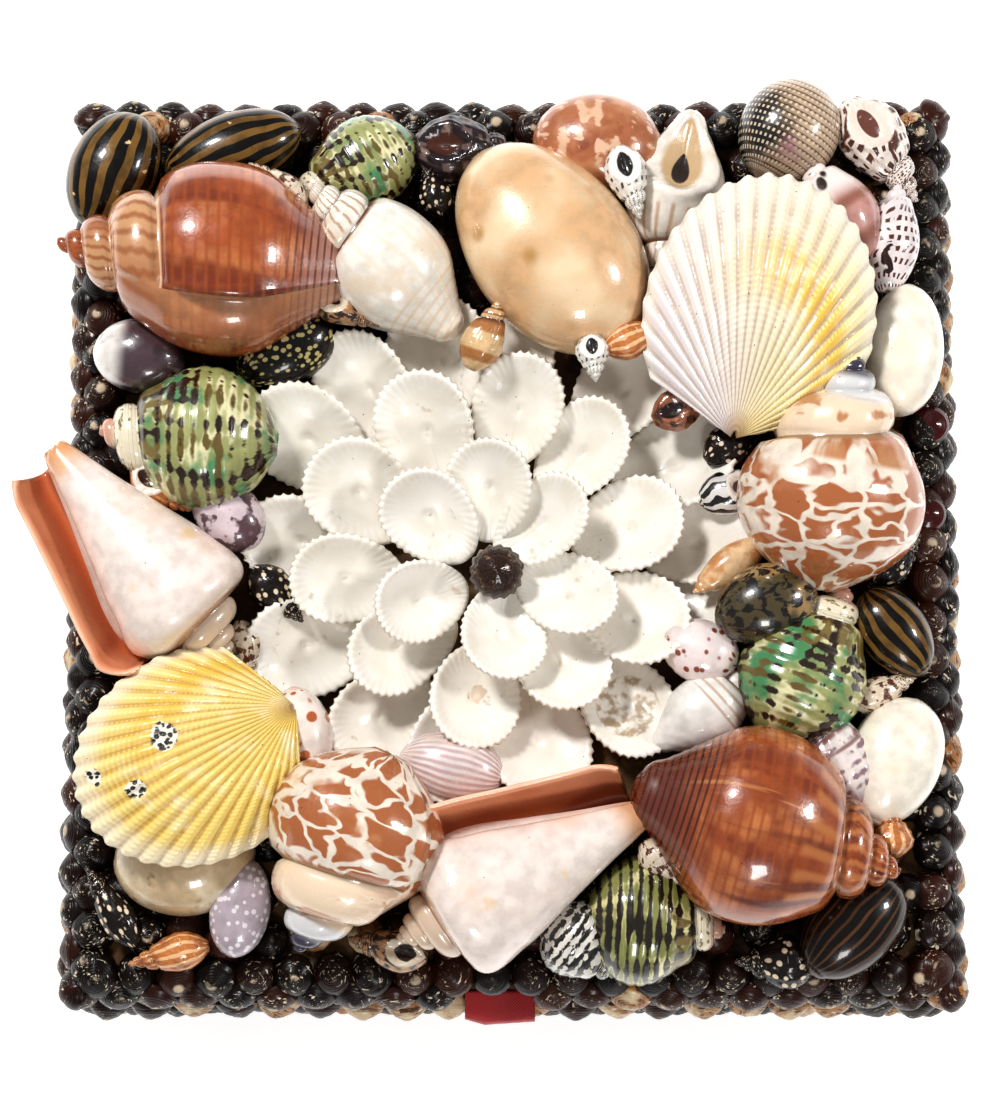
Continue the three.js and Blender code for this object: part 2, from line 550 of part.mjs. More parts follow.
function lidGeometry() {
  const outer = boxBetween(HALF_WIDTH, HALF_DEPTH, LID_BOTTOM, LID_TOP);
  const hollow = boxBetween(HALF_WIDTH - LID_WALL, HALF_DEPTH - LID_WALL, LID_BOTTOM - 1, LID_TOP - LID_PANEL);
  return geometryOf(outer.subtract(hollow));
}

// The ribbon: a pressed loop that comes out between the lid's shells and the tray's, and hangs a little
function ribbonGeometry() {
  const middle = LID_BOTTOM - RIBBON_THICKNESS / 2;
  const start = 0.6;
  const end = SIDE_SHELL_RISE + RIBBON_OUT;
  const half = (RIBBON_THICKNESS - GLUE_GAP) / 2;
  const shape = new THREE.Shape();
  shape.moveTo(start, -half);
  shape.lineTo(SIDE_SHELL_RISE, -half);
  shape.quadraticCurveTo(end - half, -half, end - 1.6 * half, -RIBBON_DROP);
  shape.absarc(end, -RIBBON_DROP, half, Math.PI, 2 * Math.PI, false);
  shape.quadraticCurveTo(end + half, half, SIDE_SHELL_RISE, half);
  shape.lineTo(start, half);
  const solid = new THREE.ExtrudeGeometry(shape, { depth: RIBBON_WIDTH, bevelEnabled: false, curveSegments: 3 });
  solid.translate(0, 0, -RIBBON_WIDTH / 2);
  const frame = new THREE.Matrix4().makeBasis(
    new THREE.Vector3(0, -1, 0),
    new THREE.Vector3(0, 0, 1),
    new THREE.Vector3(-1, 0, 0),
  );
  return solid.applyMatrix4(frame).translate(RIBBON_OFFSET, -HALF_DEPTH, middle);
}

// The room that the lid and its border of top shells take under the mosaic
function bedSolid() {
  const lid = boxBetween(HALF_WIDTH, HALF_DEPTH, LID_BOTTOM, LID_TOP + GLUE_GAP);
  const past = EDGE_SHELL_RISE + 2 * GLUE_GAP;
  const top = LID_TOP + EDGE_SHELL_RISE + 2 * GLUE_GAP;
  const border = boxBetween(HALF_WIDTH + past, HALF_DEPTH + past, LID_BOTTOM, top);
  const within = EDGE_SHELL_PITCH;
  const inside = boxBetween(HALF_WIDTH - within, HALF_DEPTH - within, LID_BOTTOM - 1, top + 1);
  return border.subtract(inside).add(lid);
}

const group = new THREE.Group();

function addNode(name, geometry, colour, roughness, metalness = 0) {
  const material = new THREE.MeshStandardMaterial({ color: colour, roughness, metalness });
  const mesh = new THREE.Mesh(geometry, material);
  mesh.name = name;
  group.add(mesh);
}

addNode("tray", trayGeometry(), "#a8844e", 0.8);
addNode("lid", lidGeometry(), "#a8844e", 0.8);
addNode("ribbon_pull", ribbonGeometry(), "#a3161c", 0.5);
for (const wall of WALLS) {
  addNode(`lid_edge_shells_${wall.side}`, lidEdgeCourse(wall), "#352521", 0.3);
  addNode(`tray_shells_${wall.side}`, traySideCourse(wall), "#4a3229", 0.3);
}

// Each piece on the lid leaves room for those above it: they are placed from the top down
const bed = bedSolid();
const above = [];

function addOnLid(name, geometries, colour, room, opening) {
  const join = (list) => list.map(solidOf).reduce((all, one) => all.add(one));
  let solid = join(geometries).subtract(bed);
  if (opening) solid = solid.subtract(solidOf(opening));
  for (const taken of above) solid = solid.subtract(taken);
  above.push(join(room ?? geometries.map((part) => grown(part, GLUE_GAP))));
  addNode(name, geometryOf(largestBody(solid)), colour, 0.25);
}

for (const shell of MOSAIC) {
  const opening = shell.open ? openingGeometry(shell) : null;
  addOnLid(shell.name, shellGeometries(shell), shell.colour, roomGeometries(shell), opening);
}
addOnLid("flower_centre_shell", [flowerShell()], "#3a2620");
for (const ring of PETAL_RINGS) addOnLid(ring.name, [petalRing(ring)], "#f4f2ec");

export default group;
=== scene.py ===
# %% [markdown]
# # A shell box, seen from above
# The real object is a square board box with a lift-off lid. Small dark top shells cover its edges and sides,
# and larger shells lie on the lid round a flower of white cockle valves. The CAD model gives each place and
# size. This lesson dresses that model: each step builds one kind of piece in mesh code and gives it a procedural
# finish. The frame is loaded first.

# %% Load the frame
import math
import bpy
import bmesh
import numpy as np
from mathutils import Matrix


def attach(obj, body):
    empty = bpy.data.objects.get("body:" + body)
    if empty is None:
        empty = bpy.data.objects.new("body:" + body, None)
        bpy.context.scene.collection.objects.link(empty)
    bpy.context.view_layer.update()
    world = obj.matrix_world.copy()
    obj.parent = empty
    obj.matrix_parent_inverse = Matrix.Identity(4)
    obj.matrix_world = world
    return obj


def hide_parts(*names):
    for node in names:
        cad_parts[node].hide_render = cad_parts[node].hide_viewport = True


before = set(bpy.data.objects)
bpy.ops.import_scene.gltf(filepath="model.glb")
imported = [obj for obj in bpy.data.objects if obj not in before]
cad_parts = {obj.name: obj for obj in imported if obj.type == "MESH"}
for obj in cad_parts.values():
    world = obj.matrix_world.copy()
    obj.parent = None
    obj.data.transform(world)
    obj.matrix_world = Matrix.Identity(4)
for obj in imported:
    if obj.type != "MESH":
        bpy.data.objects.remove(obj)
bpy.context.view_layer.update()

MM = 0.001

# %% [markdown]
# ## The view
# The photograph looks straight down on the lid with a slight tilt from the front, on a pure white ground. A
# long lens could be copied with an orthographic camera, but the sides of the box show a little, so a
# perspective camera 0.65 m above the lid is used. The same numbers also turn a pixel of the picture into a
# place on the lid, which later steps use to set a shell where the picture shows it.

# %% Camera
LID_TOP = 55.3
VIEW_MIDDLE = (-3.0, -1.2)
VIEW_DISTANCE = 650.0
VIEW_TILT = math.radians(7.5)
FOCAL_PIXELS = 2730.0
PICTURE = (1000, 1100)
SENSOR_WIDTH = 36
eye = np.array([
    VIEW_MIDDLE[0],
    VIEW_MIDDLE[1] - VIEW_DISTANCE * math.sin(VIEW_TILT),
    LID_TOP + VIEW_DISTANCE * math.cos(VIEW_TILT),
])

camera_data = bpy.data.cameras.new("camera")
camera_data.sensor_width = SENSOR_WIDTH
camera_data.lens = FOCAL_PIXELS * SENSOR_WIDTH / PICTURE[1]
camera = bpy.data.objects.new("camera", camera_data)
camera.location = [c * MM for c in eye]
camera.rotation_euler = (VIEW_TILT, 0, 0)
bpy.context.collection.objects.link(camera)
bpy.context.scene.camera = camera
print("Eye, mm:", eye.round(1), "and lens, mm:", round(camera_data.lens, 1))

# %% From a pixel of the picture to a place on the lid


def spot(px, py, height):
    """The place in mm, at a height above the lid, that the camera sees at a pixel of the picture."""
    right = (px - PICTURE[0] / 2) / FOCAL_PIXELS
    up = (PICTURE[1] / 2 - py) / FOCAL_PIXELS
    cos, sin = math.cos(VIEW_TILT), math.sin(VIEW_TILT)
    ray = np.array([right, up * cos + sin, up * sin - cos])
    return eye + ray * (LID_TOP + height - eye[2]) / ray[2]


print("Middle of the picture on the lid, mm:", spot(500, 550, 0).round(1))

# %% [markdown]
# ## Light and ground
# The photograph has soft studio light with small bright reflections on the varnish, and a white ground. One
# large lamp could light it, but its reflection would cover half a shell. So a white world gives the even light,
# and three small soft area lights give the reflections and the shadows between the shells.

# %% Light and ground
scene = bpy.context.scene
scene.view_settings.view_transform = "Standard"
scene.view_settings.look = "Medium High Contrast"
EVEN_LIGHT = 0.27
world = bpy.data.worlds.new("studio")
world.use_nodes = True
background = world.node_tree.nodes["Background"]
background.inputs["Color"].default_value = (1, 1, 1, 1)
background.inputs["Strength"].default_value = EVEN_LIGHT
scene.world = world

LIGHTS_AIM = (0, 0, 0.05)
# place in metres, side in metres, power in watts
SOFT_LIGHTS = {
    "window": ((-0.4, 0.45, 0.75), 0.14, 5.8),
    "side": ((0.65, 0.1, 0.55), 0.12, 2.1),
    "front": ((0.1, -0.75, 0.7), 0.2, 2.1),
}
for name, (place, size, power) in SOFT_LIGHTS.items():
    light = bpy.data.lights.new(name, "AREA")
    light.size = size
    light.energy = power
    lamp = bpy.data.objects.new(name, light)
    lamp.location = place
    to_box = np.array(LIGHTS_AIM) - np.array(place)
    lean = math.acos(-to_box[2] / np.linalg.norm(to_box))
    lamp.rotation_euler = (lean, 0, math.atan2(-to_box[0], to_box[1]))
    bpy.context.collection.objects.link(lamp)
print("Lights:", {name: str(power) + " W" for name, (_, _, power) in SOFT_LIGHTS.items()})

# %% [markdown]
# ## Colours and patterns
# The shells are varnished, so each finish is a Principled shader with a clear coat, and its colour comes from
# patterns. Image textures could hold them, but procedural patterns stay sharp at any distance. Every shell
# mesh carries two UV maps: "whorl" holds the turn and the place between two seams, and "body" holds the share
# of the length and the angle. So stripes, spots and bands follow the growth of the shell, as on the real one.

# %% A colour code as linear numbers


def hue(code):
    """A colour such as #c09a70 as the linear numbers that Blender uses."""
    parts = [int(code[i:i + 2], 16) / 255 for i in (1, 3, 5)]
    return tuple(c / 12.92 if c < 0.04045 else ((c + 0.055) / 1.055) ** 2.4 for c in parts) + (1,)


print("Brown of the whelks:", [round(c, 3) for c in hue("#8a4528")])

# %% [markdown]
# A pattern is a chain of shader nodes. They could be placed and linked one by one, which fills pages, so a small
# class holds one material and gives each kind of node a short call that returns its output. Its last call sets
# the varnish: a clear coat over a surface whose roughness varies a little, as brushed-on varnish does.

# %% Short calls for the nodes of one material
COAT_ROUGHNESS = 0.07
BUMP_STRENGTH = 0.8
ROUGHNESS_SPREAD = (0.7, 1.4)


class Paint:
    """One material, with its patterns as short calls that return sockets."""

    def __init__(self, name):
        self.material = bpy.data.materials.new(name)
        self.material.use_nodes = True
        self.tree = self.material.node_tree
        self.shader = self.tree.nodes["Principled BSDF"]
        self.turn, self.across = self.uv("whorl")
        self.along, self.angle = self.uv("body")
        self.solid = self.node("TexCoord").outputs["Object"]

    def node(self, kind, settings=None, inputs=None):
        made = self.tree.nodes.new("ShaderNode" + kind)
        for key, value in (settings or {}).items():
            setattr(made, key, value)
        for key, value in (inputs or {}).items():
            if isinstance(value, bpy.types.NodeSocket):
                self.tree.links.new(value, made.inputs[key])
            else:
                made.inputs[key].default_value = value
        return made

    def uv(self, name):
        parts = self.node("SeparateXYZ", inputs={0: self.node("UVMap", {"uv_map": name}).outputs[0]})
        return parts.outputs[0], parts.outputs[1]

    def math(self, operation, a, b=0.0):
        return self.node("Math", {"operation": operation}, {0: a, 1: b}).outputs[0]

    def times(self, a, b):
        return self.math("MULTIPLY", a, b)

    def scaled(self, *terms):
        """The sum of value times factor."""
        total = 0.0
        for value, factor in terms:
            made = self.node("Math", {"operation": "MULTIPLY_ADD"}, {0: value, 1: factor, 2: total})
            total = made.outputs[0]
        return total

    def edge(self, value, low, high):
        """0 below low and 1 above high, smooth between."""
        made = self.node("MapRange", {"interpolation_type": "SMOOTHSTEP"}, {0: value, 1: low, 2: high})
        return made.outputs[0]

    def mix(self, share, a, b):
        made = self.node("Mix", {"data_type": "RGBA"}, {0: share, 6: a, 7: b})
        return made.outputs[2]

    def place(self, x, y, z=0.0):
        return self.node("CombineXYZ", inputs={0: x, 1: y, 2: z}).outputs[0]

    def noise(self, size, detail=3.0, at=None, distortion=0.0):
        """Smooth noise with features of about this size in mm, or in units of the given place."""
        scale = 1 / size if at else 1000 / size
        made = self.node("TexNoise", inputs={
            "Vector": at or self.solid, "Scale": scale, "Detail": detail, "Distortion": distortion})
        return made.outputs[0]

    def cells(self, feature, at=None, size=1.0, random=1.0):
        scale = 1 / size if at else 1000 / size
        made = self.node("TexVoronoi", {"feature": feature}, {
            "Vector": at or self.solid, "Scale": scale, "Randomness": random})
        return made.outputs[0]

    def finish(self, colour, relief=None, depth=0.2, rough=0.28, coat=0.8, shine=0.5):
        """Sets the shader; relief is a height from 0 to 1, and depth is in mm."""
        shader = self.shader
        self.tree.links.new(colour, shader.inputs["Base Color"])
        wear = self.noise(2.5, 4)
        smoothest, roughest = (rough * share for share in ROUGHNESS_SPREAD)
        varied = self.node("MapRange", inputs={0: wear, 1: 0.3, 2: 0.7, 3: smoothest, 4: roughest})
        self.tree.links.new(varied.outputs[0], shader.inputs["Roughness"])
        shader.inputs["Coat Weight"].default_value = coat
        shader.inputs["Coat Roughness"].default_value = COAT_ROUGHNESS
        shader.inputs["Specular IOR Level"].default_value = shine
        if relief is not None:
            bump = self.node("Bump", inputs={
                "Strength": BUMP_STRENGTH, "Distance": depth * MM, "Height": relief})
            self.tree.links.new(bump.outputs[0], shader.inputs["Normal"])
        return self.material


print("Calls of a material:", [name for name in vars(Paint) if not name.startswith("_")])

# %% [markdown]
# Each pattern below returns a share from 0 to 1, which says where a mark's colour lies over the base colour.
# They could all be painted by hand. Here a few waves and cells do it, because the families of shells differ
# only in how many marks they have, how large these are and how far they wander. The first ones come from waves
# along and across the whorl: the stripes of a nerite, the cords of a turban, the fine lines of a whelk's canal.

# %% Patterns made by waves


def stripes(p, count=10, slant=0.0, width=0.5, wobble=0.35, size=0.35, sharp=0.12):
    """Stripes along the axis, a number of them in each turn."""
    wander = p.noise(size, 2, p.place(p.turn, p.across))
    phase = p.scaled((p.turn, count), (p.across, slant), (wander, wobble * 3))
    wave = p.math("SINE", p.times(phase, 2 * math.pi))
    level = math.cos(math.pi * width)
    return p.edge(wave, level - sharp, level + sharp)


def cords(p, count=8, width=0.5, sharp=0.3, wobble=0.0):
    """Bands along the whorl, a number of them between two seams."""
    phase = p.scaled((p.across, count), (p.noise(0.4, 2, p.place(p.turn, p.across)), wobble))
    wave = p.math("SINE", p.times(phase, 2 * math.pi))
    level = math.cos(math.pi * width)
    return p.edge(wave, level - sharp, level + sharp)


def beads(p, around=24, count=8, width=0.5, sharp=0.35, wobble=0.5):
    """Rounded dashes where stripes and bands cross, a little out of line."""
    wander = p.noise(0.3, 2, p.place(p.turn, p.across))
    turns = p.times(p.scaled((p.turn, around), (wander, wobble * 2)), 2 * math.pi)
    rows = p.times(p.scaled((p.across, count), (wander, wobble)), 2 * math.pi)
    lowest = p.math("MINIMUM", p.math("SINE", turns), p.math("SINE", rows))
    level = math.cos(math.pi * width)
    grown = p.scaled((lowest, 1.0), (p.noise(0.12, 2, p.place(p.turn, p.across)), 0.8), (1.0, -0.4))
    return p.edge(grown, level - sharp, level + sharp)


def rings(p, count=40, low=0.75, high=0.85, width=0.4):
    """Lines round the axis, on the part of the shell towards its tip."""
    wave = p.math("SINE", p.times(p.along, 2 * math.pi * count))
    level = math.cos(math.pi * width)
    return p.times(p.edge(wave, level - 0.4, level + 0.4), p.edge(p.along, low, high))


print("Patterns made by waves:", [f.__name__ for f in (stripes, cords, beads, rings)])

# %% [markdown]
# The next ones come from cells and noise, which give marks that are all alike but never the same: the spots of a
# cone, the white net of a babylonia, the torn flames of a turban, soft clouds, and patches at one place.

# %% Patterns made by cells and noise


def spots(p, around=10, rows=6, size=0.36, wander=0.9):
    """Round spots, in rows along the whorl."""
    at = p.place(p.scaled((p.turn, around)), p.scaled((p.across, rows)))
    return p.edge(p.cells("F1", at, 1.0, wander), size + 0.06, size - 0.06)


def network(p, around=12, rows=6, line=0.09, wander=0.8, bend=1.1):
    """Rounded blotches between narrow lines."""
    x, y = p.scaled((p.turn, around)), p.scaled((p.across, rows))
    side, ahead = p.noise(0.7, 1, p.place(x, y)), p.noise(0.7, 1, p.place(x, y, 7.0))
    at = p.place(p.scaled((x, 1.0), (side, bend)), p.scaled((y, 1.0), (ahead, bend)))
    return p.edge(p.cells("DISTANCE_TO_EDGE", at, 1.0, wander), line, line + 0.06)


def broken_flames(p, count=16, long=2.4, cords=12, weight=0.07, low=0.54, high=0.59):
    """Torn marks across the whorl, which fine cords break up."""
    at = p.place(p.scaled((p.turn, count)), p.scaled((p.across, long)))
    wave = p.math("SINE", p.times(p.across, 2 * math.pi * cords))
    return p.edge(p.scaled((p.noise(1.0, 4, at, 0.8), 1.0), (wave, weight)), low, high)


def near(p, place, radius, soft=0.3, ragged=3.0):
    """A ragged patch round a place on the lid, in mm, as seen from above."""
    flat = p.node("VectorMath", {"operation": "MULTIPLY"}, {0: p.solid, 1: (1, 1, 0)}).outputs[0]
    far = p.node("VectorMath", {"operation": "DISTANCE"}, {0: flat, 1: (place[0] * MM, place[1] * MM, 0)})
    reach = p.scaled((far.outputs["Value"], 1 / MM), (p.noise(3, 2), ragged), (1.0, -ragged / 2))
    return p.edge(reach, radius + soft, radius - soft)


def cloud(p, size=5.0, low=0.5, high=0.65, detail=3.0):
    """Soft patches, in mm."""
    return p.edge(p.noise(size, detail), low, high)


def dots(p, size=3.0, radius=0.2, soft=0.06):
    """Dots scattered over the surface, in mm."""
    return p.edge(p.cells("F1", None, size), radius + soft, radius - soft)


def flames(p, count=8, long=3.0, low=0.5, high=0.6):
    """Torn marks that run across the whorl."""
    at = p.place(p.scaled((p.turn, count)), p.scaled((p.across, long)))
    return p.edge(p.noise(1.0, 4, at, 0.6), low, high)


print("Patterns made by cells and noise:", [f.__name__ for f in (spots, network, broken_flames, cloud, dots)])

# %% [markdown]
# The last ones only say where on a shell a colour or another pattern lies: along the seams, on one whorl, at the
# apex or the tip, between two shares of the length, or round the opening.

# %% Where on a shell a mark lies


def opening(p, half_angle=0.1, middle=0.72, half_length=0.2, outer=1.0):
    """An oval round the opening that faces up."""
    aside = p.math("DIVIDE", p.math("SUBTRACT", p.angle, 0.5), half_angle)
    ahead = p.math("DIVIDE", p.math("SUBTRACT", p.along, middle), half_length)
    far = p.math("ADD", p.times(aside, aside), p.times(ahead, ahead))
    return p.edge(far, outer * 1.1, outer * 0.9)


def at_seams(p, width=0.06):
    """Narrow lines along the seams of the whorls."""
    to_seam = p.math("MINIMUM", p.across, p.math("SUBTRACT", 1.0, p.across))
    return p.edge(to_seam, width, width * 0.2)


def at_turns(p, low=1.0, high=2.0):
    """One turn of the spire, fading into the next ones."""
    return p.times(p.edge(p.turn, low - 0.3, low), p.edge(p.turn, high + 0.2, high - 0.2))


def within(p, pattern, zone, **numbers):
    """A pattern between two shares of the length only."""
    low, high = zone
    ends = p.times(p.edge(p.along, low, low + 0.03), p.edge(p.along, high, high - 0.03))
    return p.times(pattern(p, **numbers), ends)


def at_apex(p, low=0.0, high=0.3):
    """The first part of the spire."""
    return p.edge(p.along, high, low)


def at_tip(p, low=0.75, high=0.95):
    """The end of the body, where the canal is."""
    return p.edge(p.along, low, high)


print("Places of marks:", [f.__name__ for f in (opening, at_seams, at_turns, within, at_apex, at_tip)])

# %% [markdown]
# One shell's finish is then a base colour and a list of marks, laid one over the other like coats of paint. It
# could be a node tree made by hand for each of the forty-five shells, but a list can be read and changed in one
# line. Real shells are never one flat tone and their varnish holds dust, so both are added for all of them. The
# dark ones get a weaker coat, or the white room would turn their black to grey.

# %% One finish from a list of marks
SHADE = 0.8
DARK_SHELL = 0.4
FLAT_DEPTH = 0.05


def shell_finish(name, base, marks, relief=None, depth=0.2, rough=0.26, coat=0.85, dust=0.5):
    """A base colour, marks of (pattern, its numbers, colour) over it, and specks of dust in the varnish."""
    p = Paint(name)
    light, dark = hue(base), tuple(c * SHADE for c in hue(base)[:3]) + (1,)
    colour = p.mix(p.edge(p.noise(4, 4), 0.35, 0.7), light, dark)
    for pattern, numbers, mark in marks:
        colour = p.mix(pattern(p, **numbers), colour, hue(mark))
    if dust:
        specks = p.times(dots(p, 2.6, 0.055, 0.02), cloud(p, 12, 0.6 - 0.2 * dust, 0.62))
        colour = p.mix(specks, colour, hue("#1a120c"))
    height = relief(p) if relief else p.noise(0.8, 4)
    is_dark = sum(light[:3]) < DARK_SHELL
    coat, shine = (coat * 0.6, 0.25) if is_dark else (coat, 0.5)
    return p.finish(colour, height, depth if relief else FLAT_DEPTH, rough, coat, shine)


print("A finish takes a name, a base colour such as #f4efe6, and marks")

# %% [markdown]
# ## Coiled shells
# A whelk, turban or nerite grows as a tube round an axis, and each turn leaves a seam on its outside. A turned
# profile is the quick way to such a form, but its seams would be rings. Here the rows of the mesh climb with
# the seam: the last column of a row meets the first column one turn further, so one helical seam runs from the
# apex to the mouth, and the surface bulges between its turns. The outlines are those of the CAD model.

# %% Outlines of the families
# pairs of a share of the length and the half width there
OUTLINES = {
    "whelk": "0 .02 .13 .3 .26 .58 .4 .9 .53 1 .68 .92 .82 .6 .92 .36 .97 .26 1 .1",
    "babylonia": "0 .03 .1 .22 .22 .44 .35 .68 .5 .94 .64 1 .8 .86 .93 .5 1 .2",
    "turban": "0 .04 .12 .28 .28 .6 .45 .92 .62 1 .8 .84 .93 .5 1 .15",
    "nerite": "0 .05 .03 .28 .08 .48 .16 .69 .25 .83 .37 .95 .5 1"
              " .63 .97 .75 .88 .85 .73 .93 .52 .98 .26 1 .06",
    "cowrie": "0 .1 .03 .32 .08 .52 .16 .71 .25 .84 .37 .95 .5 1"
              " .63 .97 .75 .88 .85 .73 .93 .51 .98 .27 1 .08",
    "conch": "0 .03 .1 .34 .19 .66 .27 1 .4 .94 .6 .68 .8 .42 .93 .27 1 .18",
    "olive": "0 .03 .15 .42 .35 .84 .55 1 .75 .86 .9 .58 1 .3",
    "nassa": "0 .04 .15 .3 .35 .62 .55 .94 .7 1 .88 .7 1 .26",
    "top": "0 .1 .12 .42 .3 .74 .55 .95 .8 1 1 .8",
}
THINNEST = 0.01


def outline(kind, share):
    """The half width at a share of the length, through the points of the outline."""
    numbers = [float(n) for n in OUTLINES[kind].split()]
    xs, ys = np.array(numbers[::2]), np.array(numbers[1::2])
    slopes = np.gradient(ys, xs)
    k = np.clip(np.searchsorted(xs, share, "right") - 1, 0, len(xs) - 2)
    step = xs[k + 1] - xs[k]
    u = (share - xs[k]) / step
    value = ((2 * u**3 - 3 * u**2 + 1) * ys[k] + (u**3 - 2 * u**2 + u) * step * slopes[k]
             + (3 * u**2 - 2 * u**3) * ys[k + 1] + (u**3 - u**2) * step * slopes[k + 1])
    return np.maximum(value, THINNEST)


print("Widest place of a whelk, as a share of its length:", OUTLINES["whelk"].split()[8])

# %% [markdown]
# How a shell coils is five numbers a family. A whelk has four turns, each 1.7 times as long as the one before it,
# and the last seam meets the body at a third of its length. A cowrie hides its coil, so it gets one turn without
# a seam. These could be measured on real shells, but for a mosaic the usual numbers of each kind are near enough.

# %% Coils of the families
STEP_SHARPNESS = 0.4
# turns of the spire, growth of each, share of the length at the last seam, depth of the seams, flatness
COILS = {
    "whelk": (4, 1.7, 0.36, 0.17, 0.84),
    "babylonia": (4, 2.0, 0.48, 0.14, 0.86),
    "turban": (3, 2.2, 0.34, 0.12, 0.84),
    "nerite": (2, 2.6, 0.1, 0.06, 0.84),
    "cowrie": (1, 2, 0.06, 0.0, 0.8),
    "conch": (5, 1.55, 0.24, 0.12, 0.84),
    "olive": (3, 1.8, 0.2, 0.06, 0.86),
    "nassa": (4, 1.6, 0.42, 0.18, 0.88),
    "top": (3, 1.9, 0.55, 0.05, 1),
}
BULGE_POWER = 0.45
SEAM_STEP = 0.08
LIP_FOLD, LIP_GROOVE = 0.08, 0.1
SMOOTH_KINDS = ("top", "nerite", "cowrie")
print("Turns of the spires:", {kind: numbers[0] for kind, numbers in COILS.items()})

# %% [markdown]
# The faces of a coil are quads between its rows. Blender's screw modifier could make them too, but it gives no say
# over the UVs, and here each corner needs its turn and its place between two seams. So the quads are listed here.

# %% The faces of a coil


def coil_faces(whorls, widths, depth, share, per_turn):
    """Quads and their corner UVs; the last column of a row meets the first one a turn further."""
    rows, columns = depth.shape
    last = depth.max()
    faces, corners = [], []
    for r in range(rows - 1):
        whorl_here, rows_here = whorls[r], widths[r]
        low = (r - per_turn - whorl_here * per_turn) / rows_here
        high = low + 1 / rows_here
        for c in range(columns):
            inner = c + 1 < columns
            if not inner and r + 1 + per_turn >= rows:
                continue
            a, d = r * columns + c, (r + 1) * columns + c
            b = a + 1 if inner else (r + per_turn) * columns
            e = d + 1 if inner else (r + 1 + per_turn) * columns
            if depth.flat[e] <= 0 or depth.flat[a] >= last:
                continue
            faces.append((a, b, e, d))
            t0, t1 = whorl_here + c / columns, whorl_here + (c + 1) / columns
            s = [share.flat[k] for k in (a, b, e, d)]
            corners.append([
                (t0, low, s[0], c / columns), (t1, low, s[1], (c + 1) / columns),
                (t1, high, s[2], (c + 1) / columns), (t0, high, s[3], c / columns)])
    return np.array(faces), np.array(corners)


print("coil_faces is ready: it returns quads, and two UVs for each of their corners")

# %% [markdown]
# The points of a coil are rings of the outline. Three things make them a shell: the surface draws in at each seam
# and bulges between two seams, the whorls of the spire are stepped, and a low fold marks the lip of the opening.
# A displacement texture could do this, but in the mesh it also shows in the outline.

# %% The mesh of a coiled shell


def coil(kind, length, width, columns, per_turn, body_rows, mouth=120, sculpt=None):
    """Points in mm, apex at z = 0, with faces and two UVs for each corner. mouth is the angle of the lip."""
    turns, growth, body, seam, flat = COILS[kind]
    last = turns * per_turn + body_rows
    i, j = np.meshgrid(np.arange(-per_turn, last + 1), np.arange(columns), indexing="ij")
    depth = np.clip(i + per_turn * j / columns, 0, last)
    spire = turns * per_turn

    def share_at(rows):
        rows = np.clip(rows, 0, last)
        up_there = body * (growth ** (rows / per_turn) - 1) / (growth**turns - 1)
        return np.where(rows <= spire, up_there, body + (1 - body) * (rows - spire) / body_rows)

    share = share_at(depth)
    whorl = np.minimum(np.floor_divide(i, per_turn), turns - 1)
    seam_row = (whorl + j / columns) * per_turn
    rows_in_whorl = np.where(whorl < turns - 1, per_turn, per_turn + body_rows)
    across = (i - whorl * per_turn) / rows_in_whorl
    turn = whorl + j / columns
    bulge = np.sin(np.pi * np.clip(across, 0, 1)) ** BULGE_POWER
    last_bulge = np.sin(np.pi * np.clip(across * 3, 0, 0.5)) ** BULGE_POWER
    round_up = np.where(whorl < turns - 1, bulge, last_bulge)
    lip = ((j / columns) % 1) * 2 * np.pi
    on_body = np.clip((share - body) / 0.12, 0, 1) * np.clip((1 - share) / 0.05, 0, 1)
    fold = LIP_FOLD * np.exp(-((2 * np.pi - lip) / 0.16) ** 2) - LIP_GROOVE * np.exp(-(lip / 0.3) ** 2)
    upper, lower = outline(kind, share_at(seam_row)), outline(kind, share_at(seam_row + per_turn))
    stepped = upper + (lower - upper) * np.clip(across, 0, 1) ** STEP_SHARPNESS
    below = share - share_at(seam_row)
    shoulder = outline(kind, share + SEAM_STEP * (1 - np.exp(-below / 0.015)) * np.exp(-below / 0.1))
    profile = outline(kind, share) if kind in SMOOTH_KINDS else np.where(whorl < turns - 1, stepped, shoulder)
    factor = (1 - seam * (1 - round_up)) * (1 + fold * on_body * (whorl == turns - 1) * (kind != "cowrie"))
    if sculpt is not None:
        factor = factor + sculpt(turn, across, share)
    radius = width / 2 * profile * factor
    radius[(depth <= 0) | (depth >= last)] = 0
    angle = 2 * np.pi * j / columns + math.radians(mouth)
    points = np.stack([radius * np.cos(angle) * flat, radius * np.sin(angle), share * length], -1)
    faces, corners = coil_faces(whorl[:, 0], rows_in_whorl[:, 0], depth, share, per_turn)
    return points.reshape(-1, 3), faces, corners


points, faces, corners = coil("whelk", 60, 30, 48, 8, 20)
print("A small whelk has", len(faces), "faces; widest, mm:", points.max(0).round(1))

# %% [markdown]
# A shell lies on the lid with its axis at a heading, as the CAD model lays it. It could be an object with a
# rotation of its own, but the frame wants each piece's place in its mesh, so the points themselves are turned.
# What would reach below the lid's top is pressed flat, as the real shell is bedded in glue.

# %% Lay a shell down on the lid
BEDDED = 0.2


